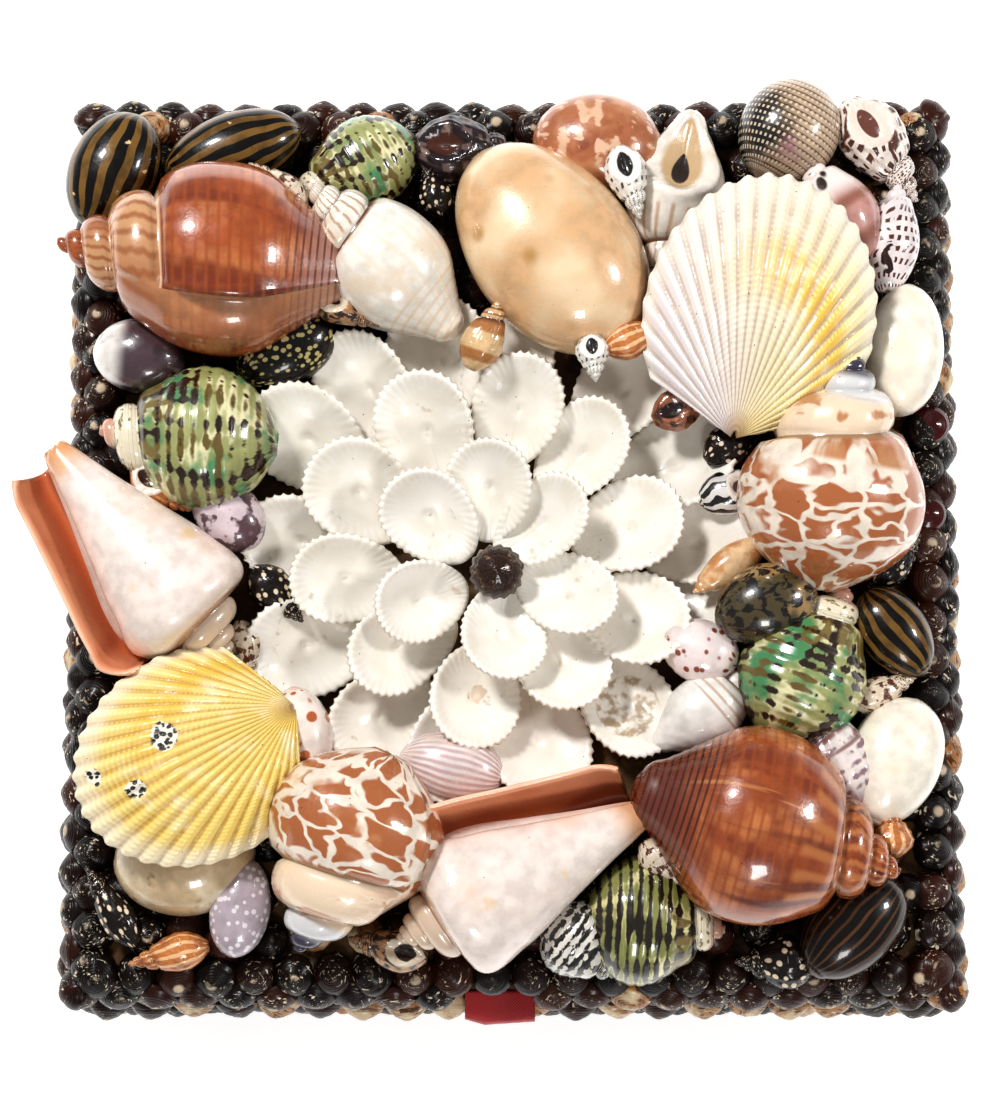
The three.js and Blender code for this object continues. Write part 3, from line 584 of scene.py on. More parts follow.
def lay(points, at, heading, length, rise, tip=0.0):
    """Turns a shell's own axes to the lid: apex behind, tip at the heading, middle at the place."""
    turn, raise_up = math.radians(heading), math.radians(tip)
    level = math.cos(raise_up)
    along = np.array([math.cos(turn) * level, math.sin(turn) * level, math.sin(raise_up)])
    right = np.array([math.sin(turn), -math.cos(turn), 0])
    up = np.cross(right, along)
    x, y, z = points.T
    moved = np.outer(x, up) + np.outer(y, right) + np.outer(z - length / 2, along)
    moved = moved + np.array([at[0], at[1], LID_TOP + rise])
    moved[:, 2] = np.maximum(moved[:, 2], LID_TOP + BEDDED)
    return moved


print("The end of a 10 mm axis at a heading of 90:", lay(np.array([[0, 0, 10.0]]), (0, 0), 90, 10, 5).round(1))

# %% [markdown]
# All parts of a piece become one mesh, and each face keeps the UVs of its corners, because the whorl map jumps at
# each seam. Joining objects by hand would lose that. Points that fall together are welded, so that the seam is
# closed, the piece is told what carries it and which material slot each face has, and the CAD node it stands
# for is hidden.

# %% Build one piece
WELD = 0.01


def piece(name, parts, replaces=(), weld=True):
    """One object from parts of (points in mm, faces, corner UVs, material); it rides on the box."""
    mesh = bpy.data.meshes.new(name)
    start, all_points, all_faces, all_corners, looks = 0, [], [], [], []
    for points, faces, corners, look in parts:
        all_points.append(points * MM)
        all_faces.extend((np.asarray(faces) + start).tolist())
        all_corners.append(np.asarray(corners).reshape(-1, 4))
        if look not in looks:
            looks.append(look)
        start += len(points)
    mesh.from_pydata(np.concatenate(all_points).tolist(), [], all_faces)
    flat = np.concatenate(all_corners)
    for layer, columns in (("whorl", (0, 1)), ("body", (2, 3))):
        made = mesh.uv_layers.new(name=layer)
        made.data.foreach_set("uv", flat[:, columns].astype(np.float32).ravel())
    for look in looks:
        mesh.materials.append(look)
    indices = np.concatenate([np.full(len(faces), looks.index(look)) for _, faces, _, look in parts])
    mesh.polygons.foreach_set("material_index", indices.astype(np.int32))
    mesh.polygons.foreach_set("use_smooth", np.ones(len(indices), bool))
    if weld:
        work = bmesh.new()
        work.from_mesh(mesh)
        bmesh.ops.remove_doubles(work, verts=work.verts, dist=WELD * MM)
        bmesh.ops.dissolve_degenerate(work, edges=work.edges, dist=WELD * MM)
        work.to_mesh(mesh)
        work.free()
    mesh.update()
    made = bpy.data.objects.new(name, mesh)
    bpy.context.collection.objects.link(made)
    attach(made, "root")
    if replaces:
        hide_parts(*replaces)
    return made


print("Points nearer than", WELD, "mm are welded")

# %% [markdown]
# ## The mosaic
# The list repeats the places of the CAD model: share of the half lid in percent, heading from apex to tip,
# length, width, height of the axis above the lid, and how far the tip is raised. The last number is the angle
# at which the lip of the mouth lies, where 0 is up and 90 is to the right of the heading.

# %% Places of the mosaic shells
HALF_WIDTH, HALF_DEPTH = 101.5, 104.5
MOSAIC = {
    "shell_egg_cowrie": ("cowrie", 9, 66, -53, 57, 39, 14, 0, 180),
    "shell_white_whelk": ("whelk", -30, 63, -45, 50, 28, 15, -9, 110),
    "shell_brown_whelk_left": ("whelk", -70, 63, -5, 72, 46, 17, -4, 35),
    "shell_babylonia_right": ("babylonia", 74, 14, -100, 55, 44, 17, -12, 180),
    "shell_conch_left": ("conch", -85, -4, 130, 65, 32, 15, 4, 270),
    "shell_conch_front": ("conch", 2, -75, 27, 64, 32, 15, 3, 270),
    "shell_brown_whelk_right": ("whelk", 57, -65, 162, 64, 46, 17, 0, 250),
    "shell_babylonia_left": ("babylonia", -38, -70, 64, 50, 41, 16, 8, 60),
    "shell_green_turban_left": ("turban", -75, 23, -5, 42, 34, 12, 0, 150),
    "shell_mottled_nerite": ("nerite", 58, -15, 20, 25, 19, 13, 0, 180),
    "shell_green_turban_right": ("turban", 68, -28, -118, 40, 30, 10, 0, 180),
    "shell_white_whelk_small": ("whelk", 45, -38, -145, 31, 17, 8, 0, 240),
    "shell_purple_thais": ("nassa", 74, -48, -62, 31, 18, 10, -6, 180),
    "shell_spotted_cone_left": ("nerite", -49, -44, -83, 23, 16, 10, 0, 180),
    "shell_striated_moon": ("nerite", -14, -51, -14, 25, 17, 8, 0, 180),
    "shell_mauve_cowrie": ("cowrie", -66, 6, -48, 21, 15, 10, 0, 180),
    "shell_orange_whelk": ("nassa", -81, 11, 143, 17, 10, 12, 0, 180),
    "shell_broken_whelk": ("whelk", 38, 78, 78, 46, 23, 9, 0, 180),
    "shell_brown_clam": ("cowrie", 20, 91, -8, 31, 25, 10, 0, 180),
    "shell_drupe_dark": ("nassa", -10, 90, 176, 28, 16, 9, 0, 180),
    "shell_drupe_ribbed": ("nerite", 65, 94, 57, 27, 24, 10, 0, 120),
    "shell_pink_cone": ("olive", 76, 75, -60, 27, 18, 13, 0, 180),
    "shell_planaxis_corner": ("nassa", 87, 90, 123, 30, 16, 9, 0, 180),
    "shell_mitre": ("olive", 89, 69, -97, 27, 13, 11, 0, 180),
    "shell_white_cowrie": ("cowrie", 91, 43, -96, 32, 19, 11, 0, 180),
    "shell_zebra_nerite_corner": ("nerite", -94, 85, 64, 30, 21, 10, 0, 180),
    "shell_zebra_nerite_back": ("nerite", -66, 90, 18, 34, 18, 9, 0, 180),
    "shell_green_turban_back": ("turban", -37, 86, 26, 32, 22, 9, 0, 180),
    "shell_gold_nerite": ("nerite", -53, 44, 33, 27, 18, 8, 0, 180),
    "shell_grey_cowrie": ("cowrie", -87, 42, -7, 22, 18, 10, 0, 180),
    "shell_banded_whelk": ("nassa", -6, 46, -116, 19, 10, 16, -10, 180),
    "shell_small_murex": ("nassa", 40, 30, 206, 17, 10, 13, 0, 180),
    "shell_speckled_whelk": ("nassa", 52, 23, -143, 18, 10, 9, 0, 180),
    "shell_striped_nerite": ("nerite", 50, 11, 17, 15, 11, 8, 0, 180),
    "shell_olive": ("olive", 50, -6, 36, 21, 9, 9, 0, 180),
    "shell_spotted_cone_right": ("nerite", 43, -25, -21, 19, 15, 9, 0, 180),
    "shell_zebra_nerite_right": ("nerite", 88, -21, 124, 24, 16, 9, 0, 180),
    "shell_white_moon": ("nerite", 87, -50, 66, 32, 22, 9, 0, 180),
    "shell_zebra_nerite_front": ("nerite", 77, -86, 44, 30, 20, 9, 0, 180),
    "shell_green_turban_front": ("turban", 32, -85, 173, 33, 30, 9, 0, 180),
    "shell_striped_turban": ("turban", 16, -90, 137, 21, 19, 9, 0, 180),
    "shell_cream_cowrie": ("cowrie", -75, -71, 8, 33, 27, 7, 0, 180),
    "shell_dotted_cowrie": ("cowrie", -62, -82, -99, 23, 14, 9, 0, 180),
}
print(len(MOSAIC), "mosaic shells; the longest is", max(row[4] for row in MOSAIC.values()), "mm")

# %% [markdown]
# Each shell of the real mosaic has its own colours: red-brown and ribbed at the canal on the large whelks,
# orange-brown blotches in a white net on the babylonias, green with dark flames on the turbans, black with
# gold stripes on the nerites. Marks are listed from the lowest to the topmost. Kinds that occur more than once
# share a list, which comes first.

# %% Colours and marks of the kinds that occur more than once
WHELK_BODY = [
    (cloud, dict(size=9, low=0.42, high=0.72), "#c27846"),
    (broken_flames, dict(count=14, long=1.2, cords=11, weight=0.03, low=0.42, high=0.66), "#7a3315"),
    (cloud, dict(size=15, low=0.56, high=0.72), "#672813"),
    (cords, dict(count=22, width=0.25, sharp=0.9, wobble=0.15), "#96481f"),
]
WHELK_BROWN = ("#a9552a", WHELK_BODY + [
    (at_tip, dict(low=0.74, high=0.9), "#a57a6e"),
    (rings, dict(count=44, low=0.7, high=0.8, width=0.3), "#6b3426"),
    (at_turns, dict(low=2.0, high=3.0), "#c99a70"),
    (within, dict(pattern=stripes, zone=(0.0, 0.36), count=22, width=0.35, wobble=0.4, sharp=0.9), "#9c5f38"),
    (at_seams, dict(width=0.012), "#dcb898"),
])
WHELK_DARK = ("#a04f24", WHELK_BODY + [
    (flames, dict(count=15, long=0.7, low=0.52, high=0.68), "#5a2210"),
    (flames, dict(count=34, long=1.2, low=0.6, high=0.72), "#c98a55"),
    (at_tip, dict(low=0.72, high=0.88), "#6d3322"),
    (rings, dict(count=44, low=0.66, high=0.78, width=0.35), "#48190e"),
    (within, dict(pattern=stripes, zone=(0.0, 0.4), count=20, width=0.4, wobble=0.4, sharp=0.9), "#b5703e"),
    (at_seams, dict(width=0.012), "#c98f60"),
])
BABYLONIA = ("#f3e5d4", [
    (network, dict(around=12, rows=6, line=0.05), "#ad673c"),
    (cloud, dict(size=9, low=0.58, high=0.8), "#c48a60"),
    (within, dict(pattern=at_turns, zone=(0.0, 0.5), low=1.9, high=3.05), "#eed6ba"),
    (within, dict(pattern=broken_flames, zone=(0.1, 0.45), count=7, long=1.2, cords=2, low=0.56, high=0.66),
     "#c08a60"),
    (at_seams, dict(width=0.02), "#a9825f"),
    (at_apex, dict(low=0.16, high=0.2), "#d8d6d6"),
    (at_apex, dict(low=0.06, high=0.1), "#3f3a4c"),
])
TURBAN_GREEN = ("#a5a76e", [
    (broken_flames, dict(count=8, long=2.0, cords=12, weight=0.07, low=0.44, high=0.56), "#e2dcb0"),
    (cloud, dict(size=10, low=0.5, high=0.64), "#4c8a5a"),
    (broken_flames, dict(count=9, long=3.0, cords=12, weight=0.07, low=0.54, high=0.62), "#6b5a2c"),
    (broken_flames, dict(count=15, long=2.0, cords=12, weight=0.06, low=0.54, high=0.6), "#2a180d"),
    (at_turns, dict(low=0.0, high=1.9), "#ebe0c6"),
    (within, dict(pattern=broken_flames, zone=(0.06, 0.45), count=16, long=3, cords=3, low=0.56, high=0.64),
     "#7d6c3e"),
    (at_apex, dict(low=0.05, high=0.12), "#dba890"),
])
ZEBRA = ("#7a5a2a", [
    (cloud, dict(size=4, low=0.45, high=0.7), "#5f451f"),
    (stripes, dict(count=13, slant=1.2, width=0.54, wobble=0.5, size=0.5), "#0e0b08"),
    (cloud, dict(size=5, low=0.7, high=0.73), "#d9c08e"),
    (at_apex, dict(low=0.0, high=0.06), "#4a3a20"),
])
CONCH = ("#f1e3da", [
    (cloud, dict(size=16, low=0.45, high=0.8), "#ecd0bf"),
    (cloud, dict(size=9, low=0.62, high=0.76), "#e6c59c"),
    (at_tip, dict(low=0.84, high=0.98), "#dba070"),
    (at_apex, dict(low=0.12, high=0.24), "#d6bda4"),
    (at_seams, dict(width=0.05), "#a97e5e"),
])
print("The net of a babylonia has", BABYLONIA[1][0][1]["around"], "blotches a turn")

# %% [markdown]
# Then each large shell: the polished cowrie with soft spots, the white whelk with its brown seams, and the pairs.

# %% Colours and marks of the large shells
LOOKS = {
    "shell_egg_cowrie": ("#dcb184", [
        (cloud, dict(size=16, low=0.4, high=0.7), "#efd5b0"),
        (dots, dict(size=11, radius=0.16, soft=0.12), "#b98d55")]),
    "shell_white_whelk": ("#f1ebe0", [
        (cloud, dict(size=9, low=0.5, high=0.75), "#e0ccb4"),
        (stripes, dict(count=16, width=0.1, wobble=0.3, sharp=0.6), "#e4d5c0"),
        (within, dict(pattern=stripes, zone=(0.0, 0.3), count=20, width=0.25, wobble=0.2, sharp=0.5),
         "#b08d6c"),
        (within, dict(pattern=cords, zone=(0.7, 1.0), count=18, width=0.2, sharp=0.8), "#dfc5aa"),
        (at_seams, dict(width=0.022), "#6f4128")]),
    "shell_brown_whelk_left": WHELK_BROWN,
    "shell_brown_whelk_right": WHELK_DARK,
    "shell_babylonia_right": BABYLONIA,
    "shell_babylonia_left": BABYLONIA,
    "shell_conch_left": CONCH,
    "shell_conch_front": CONCH,
    "shell_green_turban_left": TURBAN_GREEN,
    "shell_green_turban_right": TURBAN_GREEN,
    "shell_green_turban_back": TURBAN_GREEN,
    "shell_green_turban_front": ("#8f8f52", [
        (broken_flames, dict(count=8, long=2.0, cords=12, weight=0.07, low=0.44, high=0.56), "#dcd39a"),
        (cords, dict(count=12, width=0.3, sharp=0.5), "#4d5a2a"),
        (broken_flames, dict(count=10, long=2.2, cords=12, weight=0.09, low=0.49, high=0.56), "#1d160c")]
        + TURBAN_GREEN[1][4:]),
}
print(len(LOOKS), "large shells have their colours")

# %% [markdown]
# The small shells fill the corners between the large ones, and each is of another kind. In the picture they are
# a few dozen pixels wide, so one or two marks each are enough, but their scale has to be right.

# %% Colours and marks of the small shells, first half
LOOKS |= {
    "shell_mottled_nerite": ("#a98a5c", [
        (cloud, dict(size=14, low=0.42, high=0.56), "#4c4128"),
        (broken_flames, dict(count=26, long=9, cords=8, weight=0.05, low=0.5, high=0.54), "#15100c")]),
    "shell_gold_nerite": ("#15130f", [
        (spots, dict(around=34, rows=17, size=0.36, wander=1.0), "#c2b27c"),
        (cloud, dict(size=4, low=0.62, high=0.7), "#15130f")]),
    "shell_white_whelk_small": ("#f5efe8", [
        (within, dict(pattern=cords, zone=(0.0, 0.5), count=12, width=0.3, sharp=0.6), "#c4ab96"),
        (at_seams, dict(width=0.03), "#7d5a40")]),
    "shell_purple_thais": ("#e9ddd8", [
        (broken_flames, dict(count=12, long=2.4, cords=9, weight=0.09, low=0.5, high=0.62), "#8d7278"),
        (within, dict(pattern=cords, zone=(0.0, 0.5), count=7, width=0.3, sharp=0.6), "#86605c"),
        (at_tip, dict(low=0.75, high=0.95), "#bda0a8")]),
    "shell_spotted_cone_left": ("#f2e4da", [
        (spots, dict(around=11, rows=7, size=0.34), "#b5602f"),
        (at_apex, dict(low=0.0, high=0.05), "#d9a08c")]),
    "shell_spotted_cone_right": ("#f0e0dc", [
        (spots, dict(around=15, rows=8, size=0.27), "#8c4632"),
        (at_apex, dict(low=0.0, high=0.06), "#c9938c")]),
    "shell_striated_moon": ("#efe4df", [
        (stripes, dict(count=30, width=0.5, wobble=0.2, sharp=0.8), "#c6abad"),
        (cloud, dict(size=7, low=0.5, high=0.7), "#dcc8bd")]),
    "shell_mauve_cowrie": ("#d9c7cb", [
        (cloud, dict(size=5, low=0.5, high=0.56), "#5b4148"),
        (dots, dict(size=3, radius=0.2), "#7d5a5c")]),
    "shell_orange_whelk": ("#c06a2c", [
        (stripes, dict(count=12, width=0.35, wobble=0.3), "#e2a468"),
        (opening, dict(outer=1.9), "#f3e6d8"),
        # painted shade: the near-black inner oval stands for shade inside the opening
        (opening, dict(outer=0.7), "#3a1a12")]),
    "shell_broken_whelk": ("#f1e8dc", [
        (cloud, dict(size=6, low=0.5, high=0.8), "#e0cab0"),
        (within, dict(pattern=stripes, zone=(0.0, 0.45), count=18, width=0.25, wobble=0.2, sharp=0.5),
         "#bd9c7c"),
        (at_seams, dict(width=0.03), "#6f4c34"),
        (opening, dict(half_angle=0.13, middle=0.74, half_length=0.22, outer=0.85), "#c9a980"),
        # painted shade: the near-black inner oval stands for shade inside the opening
        (opening, dict(half_angle=0.08, middle=0.66, half_length=0.1, outer=0.8), "#2a1a10")]),
    "shell_brown_clam": ("#b06c48", [
        (cloud, dict(size=9, low=0.45, high=0.65), "#c58a62"),
        (cloud, dict(size=6, low=0.55, high=0.75), "#8e4c30"),
        (broken_flames, dict(count=16, long=6, cords=9, low=0.56, high=0.64), "#ddb597")]),
    "shell_drupe_dark": ("#2e2326", [
        (beads, dict(around=10, count=4, width=0.4), "#6d5a58"),
        (cloud, dict(size=5, low=0.55, high=0.65), "#8a7468"),
        (opening, dict(outer=0.6), "#4a281c")]),
    "shell_drupe_ribbed": ("#c6ab90", [
        (cords, dict(count=20, width=0.3), "#6e4f3c"),
        (near, dict(place=spot(748, 126, 14), radius=10, soft=4, ragged=9), "#17110e"),
        (beads, dict(around=52, count=20, width=0.46, sharp=0.25), "#d6c4ac"),
        (near, dict(place=spot(787, 157, 12), radius=1.6, soft=2.4, ragged=4), "#93606e")]),
}
print(len(LOOKS), "shells have their colours")

# %% Colours and marks of the small shells, second half
LOOKS |= {
    "shell_pink_cone": ("#c9958c", [
        (cloud, dict(size=8, low=0.5, high=0.75), "#b07a66"),
        (cords, dict(count=3, width=0.3, sharp=0.6), "#96604e"),
        (at_apex, dict(low=0.3, high=0.5), "#f3e6e0"),
        (within, dict(pattern=spots, zone=(0.0, 0.5), around=9, rows=4, size=0.3), "#2c1c18")]),
    "shell_planaxis_corner": ("#f0e2d8", [
        (beads, dict(around=20, count=7, width=0.5, sharp=0.2, wobble=1.8), "#4e281c"),
        (flames, dict(count=9, long=3, low=0.56, high=0.62), "#5a2f24"),
        (opening, dict(outer=1.3), "#efdfd2"),
        (opening, dict(outer=0.45), "#6b4034")]),
    "shell_mitre": ("#f0e4e2", [
        (beads, dict(around=18, count=11, width=0.46, sharp=0.2, wobble=2.2), "#54281c"),
        (flames, dict(count=7, long=5, low=0.6, high=0.63), "#2c120e"),
        (at_apex, dict(low=0.1, high=0.3), "#e6dcdc")]),
    "shell_white_cowrie": ("#f9f1e2", [(cloud, dict(size=12, low=0.4, high=0.8), "#f2e4cb")]),
    "shell_zebra_nerite_corner": ZEBRA,
    "shell_zebra_nerite_back": ZEBRA,
    "shell_zebra_nerite_right": ZEBRA,
    "shell_zebra_nerite_front": ("#5a3a22", [
        (stripes, dict(count=24, slant=0.6, width=0.72, wobble=0.25), "#110c0a")]),
    "shell_grey_cowrie": ("#efe9e2", [
        (at_tip, dict(low=0.22, high=0.42), "#4c3a40"),
        (cloud, dict(size=7, low=0.5, high=0.7), "#2b2024")]),
    "shell_banded_whelk": ("#e0bc8c", [
        (cords, dict(count=2, width=0.35), "#a8703c"),
        (at_seams, dict(width=0.09), "#6b3c1c")]),
    "shell_small_murex": ("#a5684a", [
        (cloud, dict(size=3, low=0.48, high=0.6), "#4a251a"),
        (at_seams, dict(width=0.1), "#e3c6ac"),
        # painted shade: the near-black inner oval stands for shade inside the opening
        (opening, dict(outer=0.7), "#24100c")]),
    "shell_speckled_whelk": ("#1d1310", [(spots, dict(around=17, rows=8, size=0.33, wander=0.7), "#e6d3bb")]),
    "shell_striped_nerite": ("#e8e4de", [
        (stripes, dict(count=9, slant=0.6, width=0.5, wobble=0.7), "#191718"),
        (opening, dict(outer=1.7), "#efe9e0"),
        # painted shade: the dark grey inner oval stands for shade inside the opening
        (opening, dict(outer=0.6), "#5a5354")]),
    "shell_olive": ("#ecc89c", [(cloud, dict(size=5, low=0.45, high=0.6), "#c98d58")]),
    "shell_white_moon": ("#f8efdf", [(cloud, dict(size=10, low=0.5, high=0.8), "#ecdcc2")]),
    "shell_striped_turban": ("#e3ddd2", [
        (broken_flames, dict(count=22, long=9, cords=9, weight=0.1, low=0.46, high=0.52), "#1b1918")]),
    "shell_cream_cowrie": ("#cfb48e", [
        (cloud, dict(size=9, low=0.45, high=0.7), "#e6d6b9"),
        (cloud, dict(size=5, low=0.6, high=0.7), "#a9875c")]),
    "shell_dotted_cowrie": ("#b9aab2", [(dots, dict(size=1.9, radius=0.32), "#e9dfe2")]),
}
print("Shells without colours:", sorted(set(MOSAIC) - set(LOOKS)))

# %% [markdown]
# The relief that the eye sees from a step away is in the mesh: cords on the turbans and on the canals of the
# whelks, beads on the small whelks, knobs on the conches. Sculpting them by hand would take days, and waves along
# the turn and the length give the same forms. The finest lines are left to the bump of the finish. A shell whose
# opening faces up has a hollow with a raised rim there.

# %% Openings that face up
# half angle as a share of a turn, middle and half length as shares of the length, depth as a share of the radius
MOUTHS = {
    "shell_broken_whelk": (0.13, 0.74, 0.22, 0.75),
    "shell_orange_whelk": (0.1, 0.7, 0.2, 0.5),
    "shell_small_murex": (0.1, 0.7, 0.2, 0.5),
    "shell_striped_nerite": (0.1, 0.72, 0.2, 0.45),
    "shell_drupe_dark": (0.09, 0.72, 0.2, 0.5),
    "shell_planaxis_corner": (0.1, 0.7, 0.2, 0.5),
    "white_mouth_back": (0.1, 0.72, 0.22, 0.6),
    "white_mouth_middle": (0.1, 0.7, 0.22, 0.6),
    "open_front": (0.07, 0.68, 0.24, 0.5),
    "open_left": (0.1, 0.7, 0.22, 0.6),
}
print(len(MOUTHS), "shells lie with their opening up")

# %% Relief in the mesh


def sculpt_for(name, kind):
    """How far the surface stands out, as a share of the radius, at a turn, a place across and along."""
    def relief(turn, across, share):
        if name in MOUTHS:
            half_angle, middle, half_length, deep = MOUTHS[name]
            far = (((turn % 1) - 0.5) / half_angle) ** 2 + ((share - middle) / half_length) ** 2
            rim = 0.09 * np.exp(-((far - 1.25) / 0.35) ** 2)
            return rim - deep * np.clip(1.05 - far, 0, 1) ** 0.5 + plain(turn, across, share) * (far > 1)
        return plain(turn, across, share)

    def plain(turn, across, share):
        growth = 0.004 * np.sin(2 * np.pi * turn * 23 + 3 * np.sin(9 * turn))
        if kind == "turban":
            return 0.022 * np.abs(np.sin(np.pi * across * 9)) - 0.011 + growth
        if kind == "whelk":
            canal = np.clip((share - 0.72) / 0.1, 0, 1)
            return 0.016 * canal * np.sin(2 * np.pi * share * 34) + 0.6 * growth
        if kind == "conch":
            knobs = np.clip(1 - np.abs(share - 0.25) / 0.05, 0, 1) + 0.6 * (share < 0.2)
            return 0.012 * knobs * np.sin(2 * np.pi * turn * 11) + 0.2 * growth
        if kind == "nassa":
            return 0.05 * np.sin(2 * np.pi * turn * 12) * (0.6 + 0.4 * np.sin(2 * np.pi * across * 5))
        if name == "shell_drupe_ribbed":
            return 0.014 * np.sin(2 * np.pi * across * 18)
        return growth * (kind != "cowrie")
    return relief


print("The kinds with a relief of their own: turban, whelk, conch and nassa")

# %% [markdown]
# Lips, valves, petals and the ribbon are thin sheets. A Solidify modifier would thicken a surface too, but here the
# lower side needs its own mark in the UVs, so that colours can tell it. So a grid of points gets its lower side
# and its rim in code, and the result is a closed mesh with a real thickness.

# %% A closed sheet from a grid of points


def sheet_mesh(grid, uv, thickness):
    """A closed sheet from a grid of upper points: the lower side lies a thickness below along the normals."""
    gx, gy = np.gradient(grid, axis=0), np.gradient(grid, axis=1)
    normal = np.cross(gx, gy)
    normal /= np.maximum(np.linalg.norm(normal, axis=-1, keepdims=True), 1e-9)
    rows, columns = grid.shape[:2]
    points = np.concatenate([grid.reshape(-1, 3), (grid - normal * thickness).reshape(-1, 3)])
    number = np.arange(rows * columns).reshape(rows, columns)
    a, b, c, d = number[:-1, :-1], number[1:, :-1], number[1:, 1:], number[:-1, 1:]
    upper = np.stack([a, b, c, d], -1).reshape(-1, 4)
    lower = np.stack([a, d, c, b], -1).reshape(-1, 4) + rows * columns
    rim = np.concatenate([number[:, 0], number[-1, 1:], number[-2::-1, -1], number[0, -2:0:-1]])
    ring = np.stack([rim, np.roll(rim, -1)], -1)
    sides = np.stack([ring[:, 1], ring[:, 0], ring[:, 0] + rows * columns, ring[:, 1] + rows * columns], -1)
    faces = np.concatenate([upper, lower, sides])
    flat_uv = np.concatenate([uv.reshape(-1, 2), uv.reshape(-1, 2)])
    at_corners = flat_uv[faces]
    side_flag = np.concatenate([np.zeros(len(upper)), np.ones(len(lower)), np.ones(len(sides))])
    flags = np.repeat(side_flag[:, None, None], 4, 1)
    corners = np.concatenate([at_corners, at_corners[..., :1] * 0, flags], -1)
    return points, faces, corners


print("sheet_mesh is ready: it closes a grid of points into a sheet")

# %% [markdown]
# Both conches lie with their opening up, and its flared outer lip is the brightest form at the front: a hollow
# orange band with a paler, rolled rim. It stands beside the body, so it is a sheet of its own that follows the
# body's outline, and it is deep red where it goes into the shell.

# %% The opening lips of the two conches
LIP_THICKNESS = 1.3


def conch_lip(length, width):
    """The flared lip along the opening, with a rolled outer rim; x is up and z along the shell."""
    columns, rows = 48, 20
    k, out = np.meshgrid(np.linspace(0, 1, columns), np.linspace(0, 1, rows), indexing="ij")
    share = 0.24 + 0.72 * k
    body = 0.72 * (width / 2) * outline("conch", np.clip(share, 0, 1))
    ends = np.clip(k / 0.12, 0, 1) ** 0.5 * np.clip((1.02 - k) / 0.1, 0, 1) ** 0.3
    reach = 0.4 * width * (0.55 + 0.45 * ends) * (1 - 0.12 * k)
    height = 0.13 * width * (-1.1 - 1.5 * np.sin(np.pi * np.minimum(out * 1.15, 1)) + 3.4 * out**1.6)
    height = height + 0.35 * np.sin(9 * k + 1) * out**3 - 0.06 * width * np.clip((out - 0.93) / 0.07, 0, 1)
    points = np.stack([height, -(body + reach * out), length * (share - 0.07 * out * (1 - k) + 0.01)], -1)
    return points, np.stack([k, out], -1)


lip = Paint("conch_lip_orange")
lip_colour = lip.mix(lip.edge(lip.across, 0.0, 0.4), hue("#4a170c"), hue("#d2744a"))
lip_colour = lip.mix(lip.edge(lip.across, 0.4, 0.8), lip_colour, hue("#eda47c"))
lip_colour = lip.mix(lip.edge(lip.across, 0.9, 0.97), lip_colour, hue("#efcdb0"))
lip_colour = lip.mix(lip.times(cloud(lip, 14, 0.45, 0.75), 0.5), lip_colour, hue("#cf6e44"))
CONCH_LIP = lip.finish(lip_colour, lip.noise(4, 3), 0.05, 0.2)
print("The lip of a 64 mm conch reaches", round(np.ptp(conch_lip(64, 32)[0][..., 1]), 1), "mm across")

# %% [markdown]
# Now every shell of the list is made: its finish, its coil with the relief of its kind, and its place on the lid.
# The large ones get finer rows, because the eye rests on them. Each is one piece and stands for its CAD node.

# %% Build the mosaic
RELIEF = {
    "turban": lambda p: cords(p, 9, 0.5, 0.6),
    "nassa": lambda p: beads(p, 12, 6, 0.5, 0.5),
}
# the least width in mm, then columns, rows a turn and rows of the body
FINENESS = ((25, (88, 10, 40)), (14, (60, 8, 28)), (0, (44, 6, 20)))
total = 0
for name, (kind, x, y, heading, length, width, rise, tip, mouth) in MOSAIC.items():
    columns, per_turn, body_rows = next(numbers for least, numbers in FINENESS if width > least)
    base, marks = LOOKS[name]
    look = shell_finish(name + "_finish", base, marks, RELIEF.get(kind), 0.12)
    relief = sculpt_for(name, kind)
    points, faces, corners = coil(kind, length, width, columns, per_turn, body_rows, mouth, relief)
    at = (x / 100 * HALF_WIDTH, y / 100 * HALF_DEPTH)
    parts = [(lay(points, at, heading, length, rise, tip), faces, corners, look)]
    if kind == "conch":
        grid, uv = conch_lip(length, width)
        lip_points, lip_faces, lip_corners = sheet_mesh(grid, uv, LIP_THICKNESS)
        parts.append((lay(lip_points, at, heading, length, rise, tip), lip_faces, lip_corners, CONCH_LIP))
    made = piece(name + "_shell", parts, (name,))
    total += len(made.data.polygons)
print(len(MOSAIC), "mosaic shells with", total, "faces")

# %% [markdown]
# ## Scallops
# The two yellow valves are fans: twenty-four ribs run from the hinge to a scalloped margin over a low dome. A
# height map on a plate would give soft ribs, so the ribs are in the mesh, and so are the low steps of growth.

# %% The mesh of a scallop
RIBS = 24
SCALLOP_THICKNESS = 1.4
FAN_HALF_ANGLE = 1.25


def scallop(length, width):
    """The fan valve: hinge at z = 0, margin at z = length, x up."""
    columns, rows = RIBS * 6, 38
    across, out = np.meshgrid(np.linspace(1, -1, columns + 1), np.linspace(0.03, 1, rows), indexing="ij")
    angle = FAN_HALF_ANGLE * across
    wave = np.cos(np.pi * RIBS * across)
    reach = out * np.cos(angle) ** 0.62 * (1 + 0.008 * wave * out**4)
    swell = np.sin(np.pi * np.minimum(out * 0.72 + 0.12, 1)) * (1 - 0.55 * across**2)
    rib = 0.75 * np.sign(wave) * np.abs(wave) ** 0.7 * out**0.8 * (1 - 0.3 * np.abs(across))
    steps = 0.18 * np.sin(out * 40) ** 8 * (out > 0.3)
    x = 0.24 * length * swell + rib - steps
    y = width / 2 * reach * np.sin(angle) / 0.583
    z = length * reach * np.cos(angle)
    grid = np.stack([x, y, z], -1)
    return sheet_mesh(grid[::-1], np.stack([across, out], -1)[::-1], SCALLOP_THICKNESS)


print("The half fan spans", round(math.degrees(FAN_HALF_ANGLE)), "degrees")

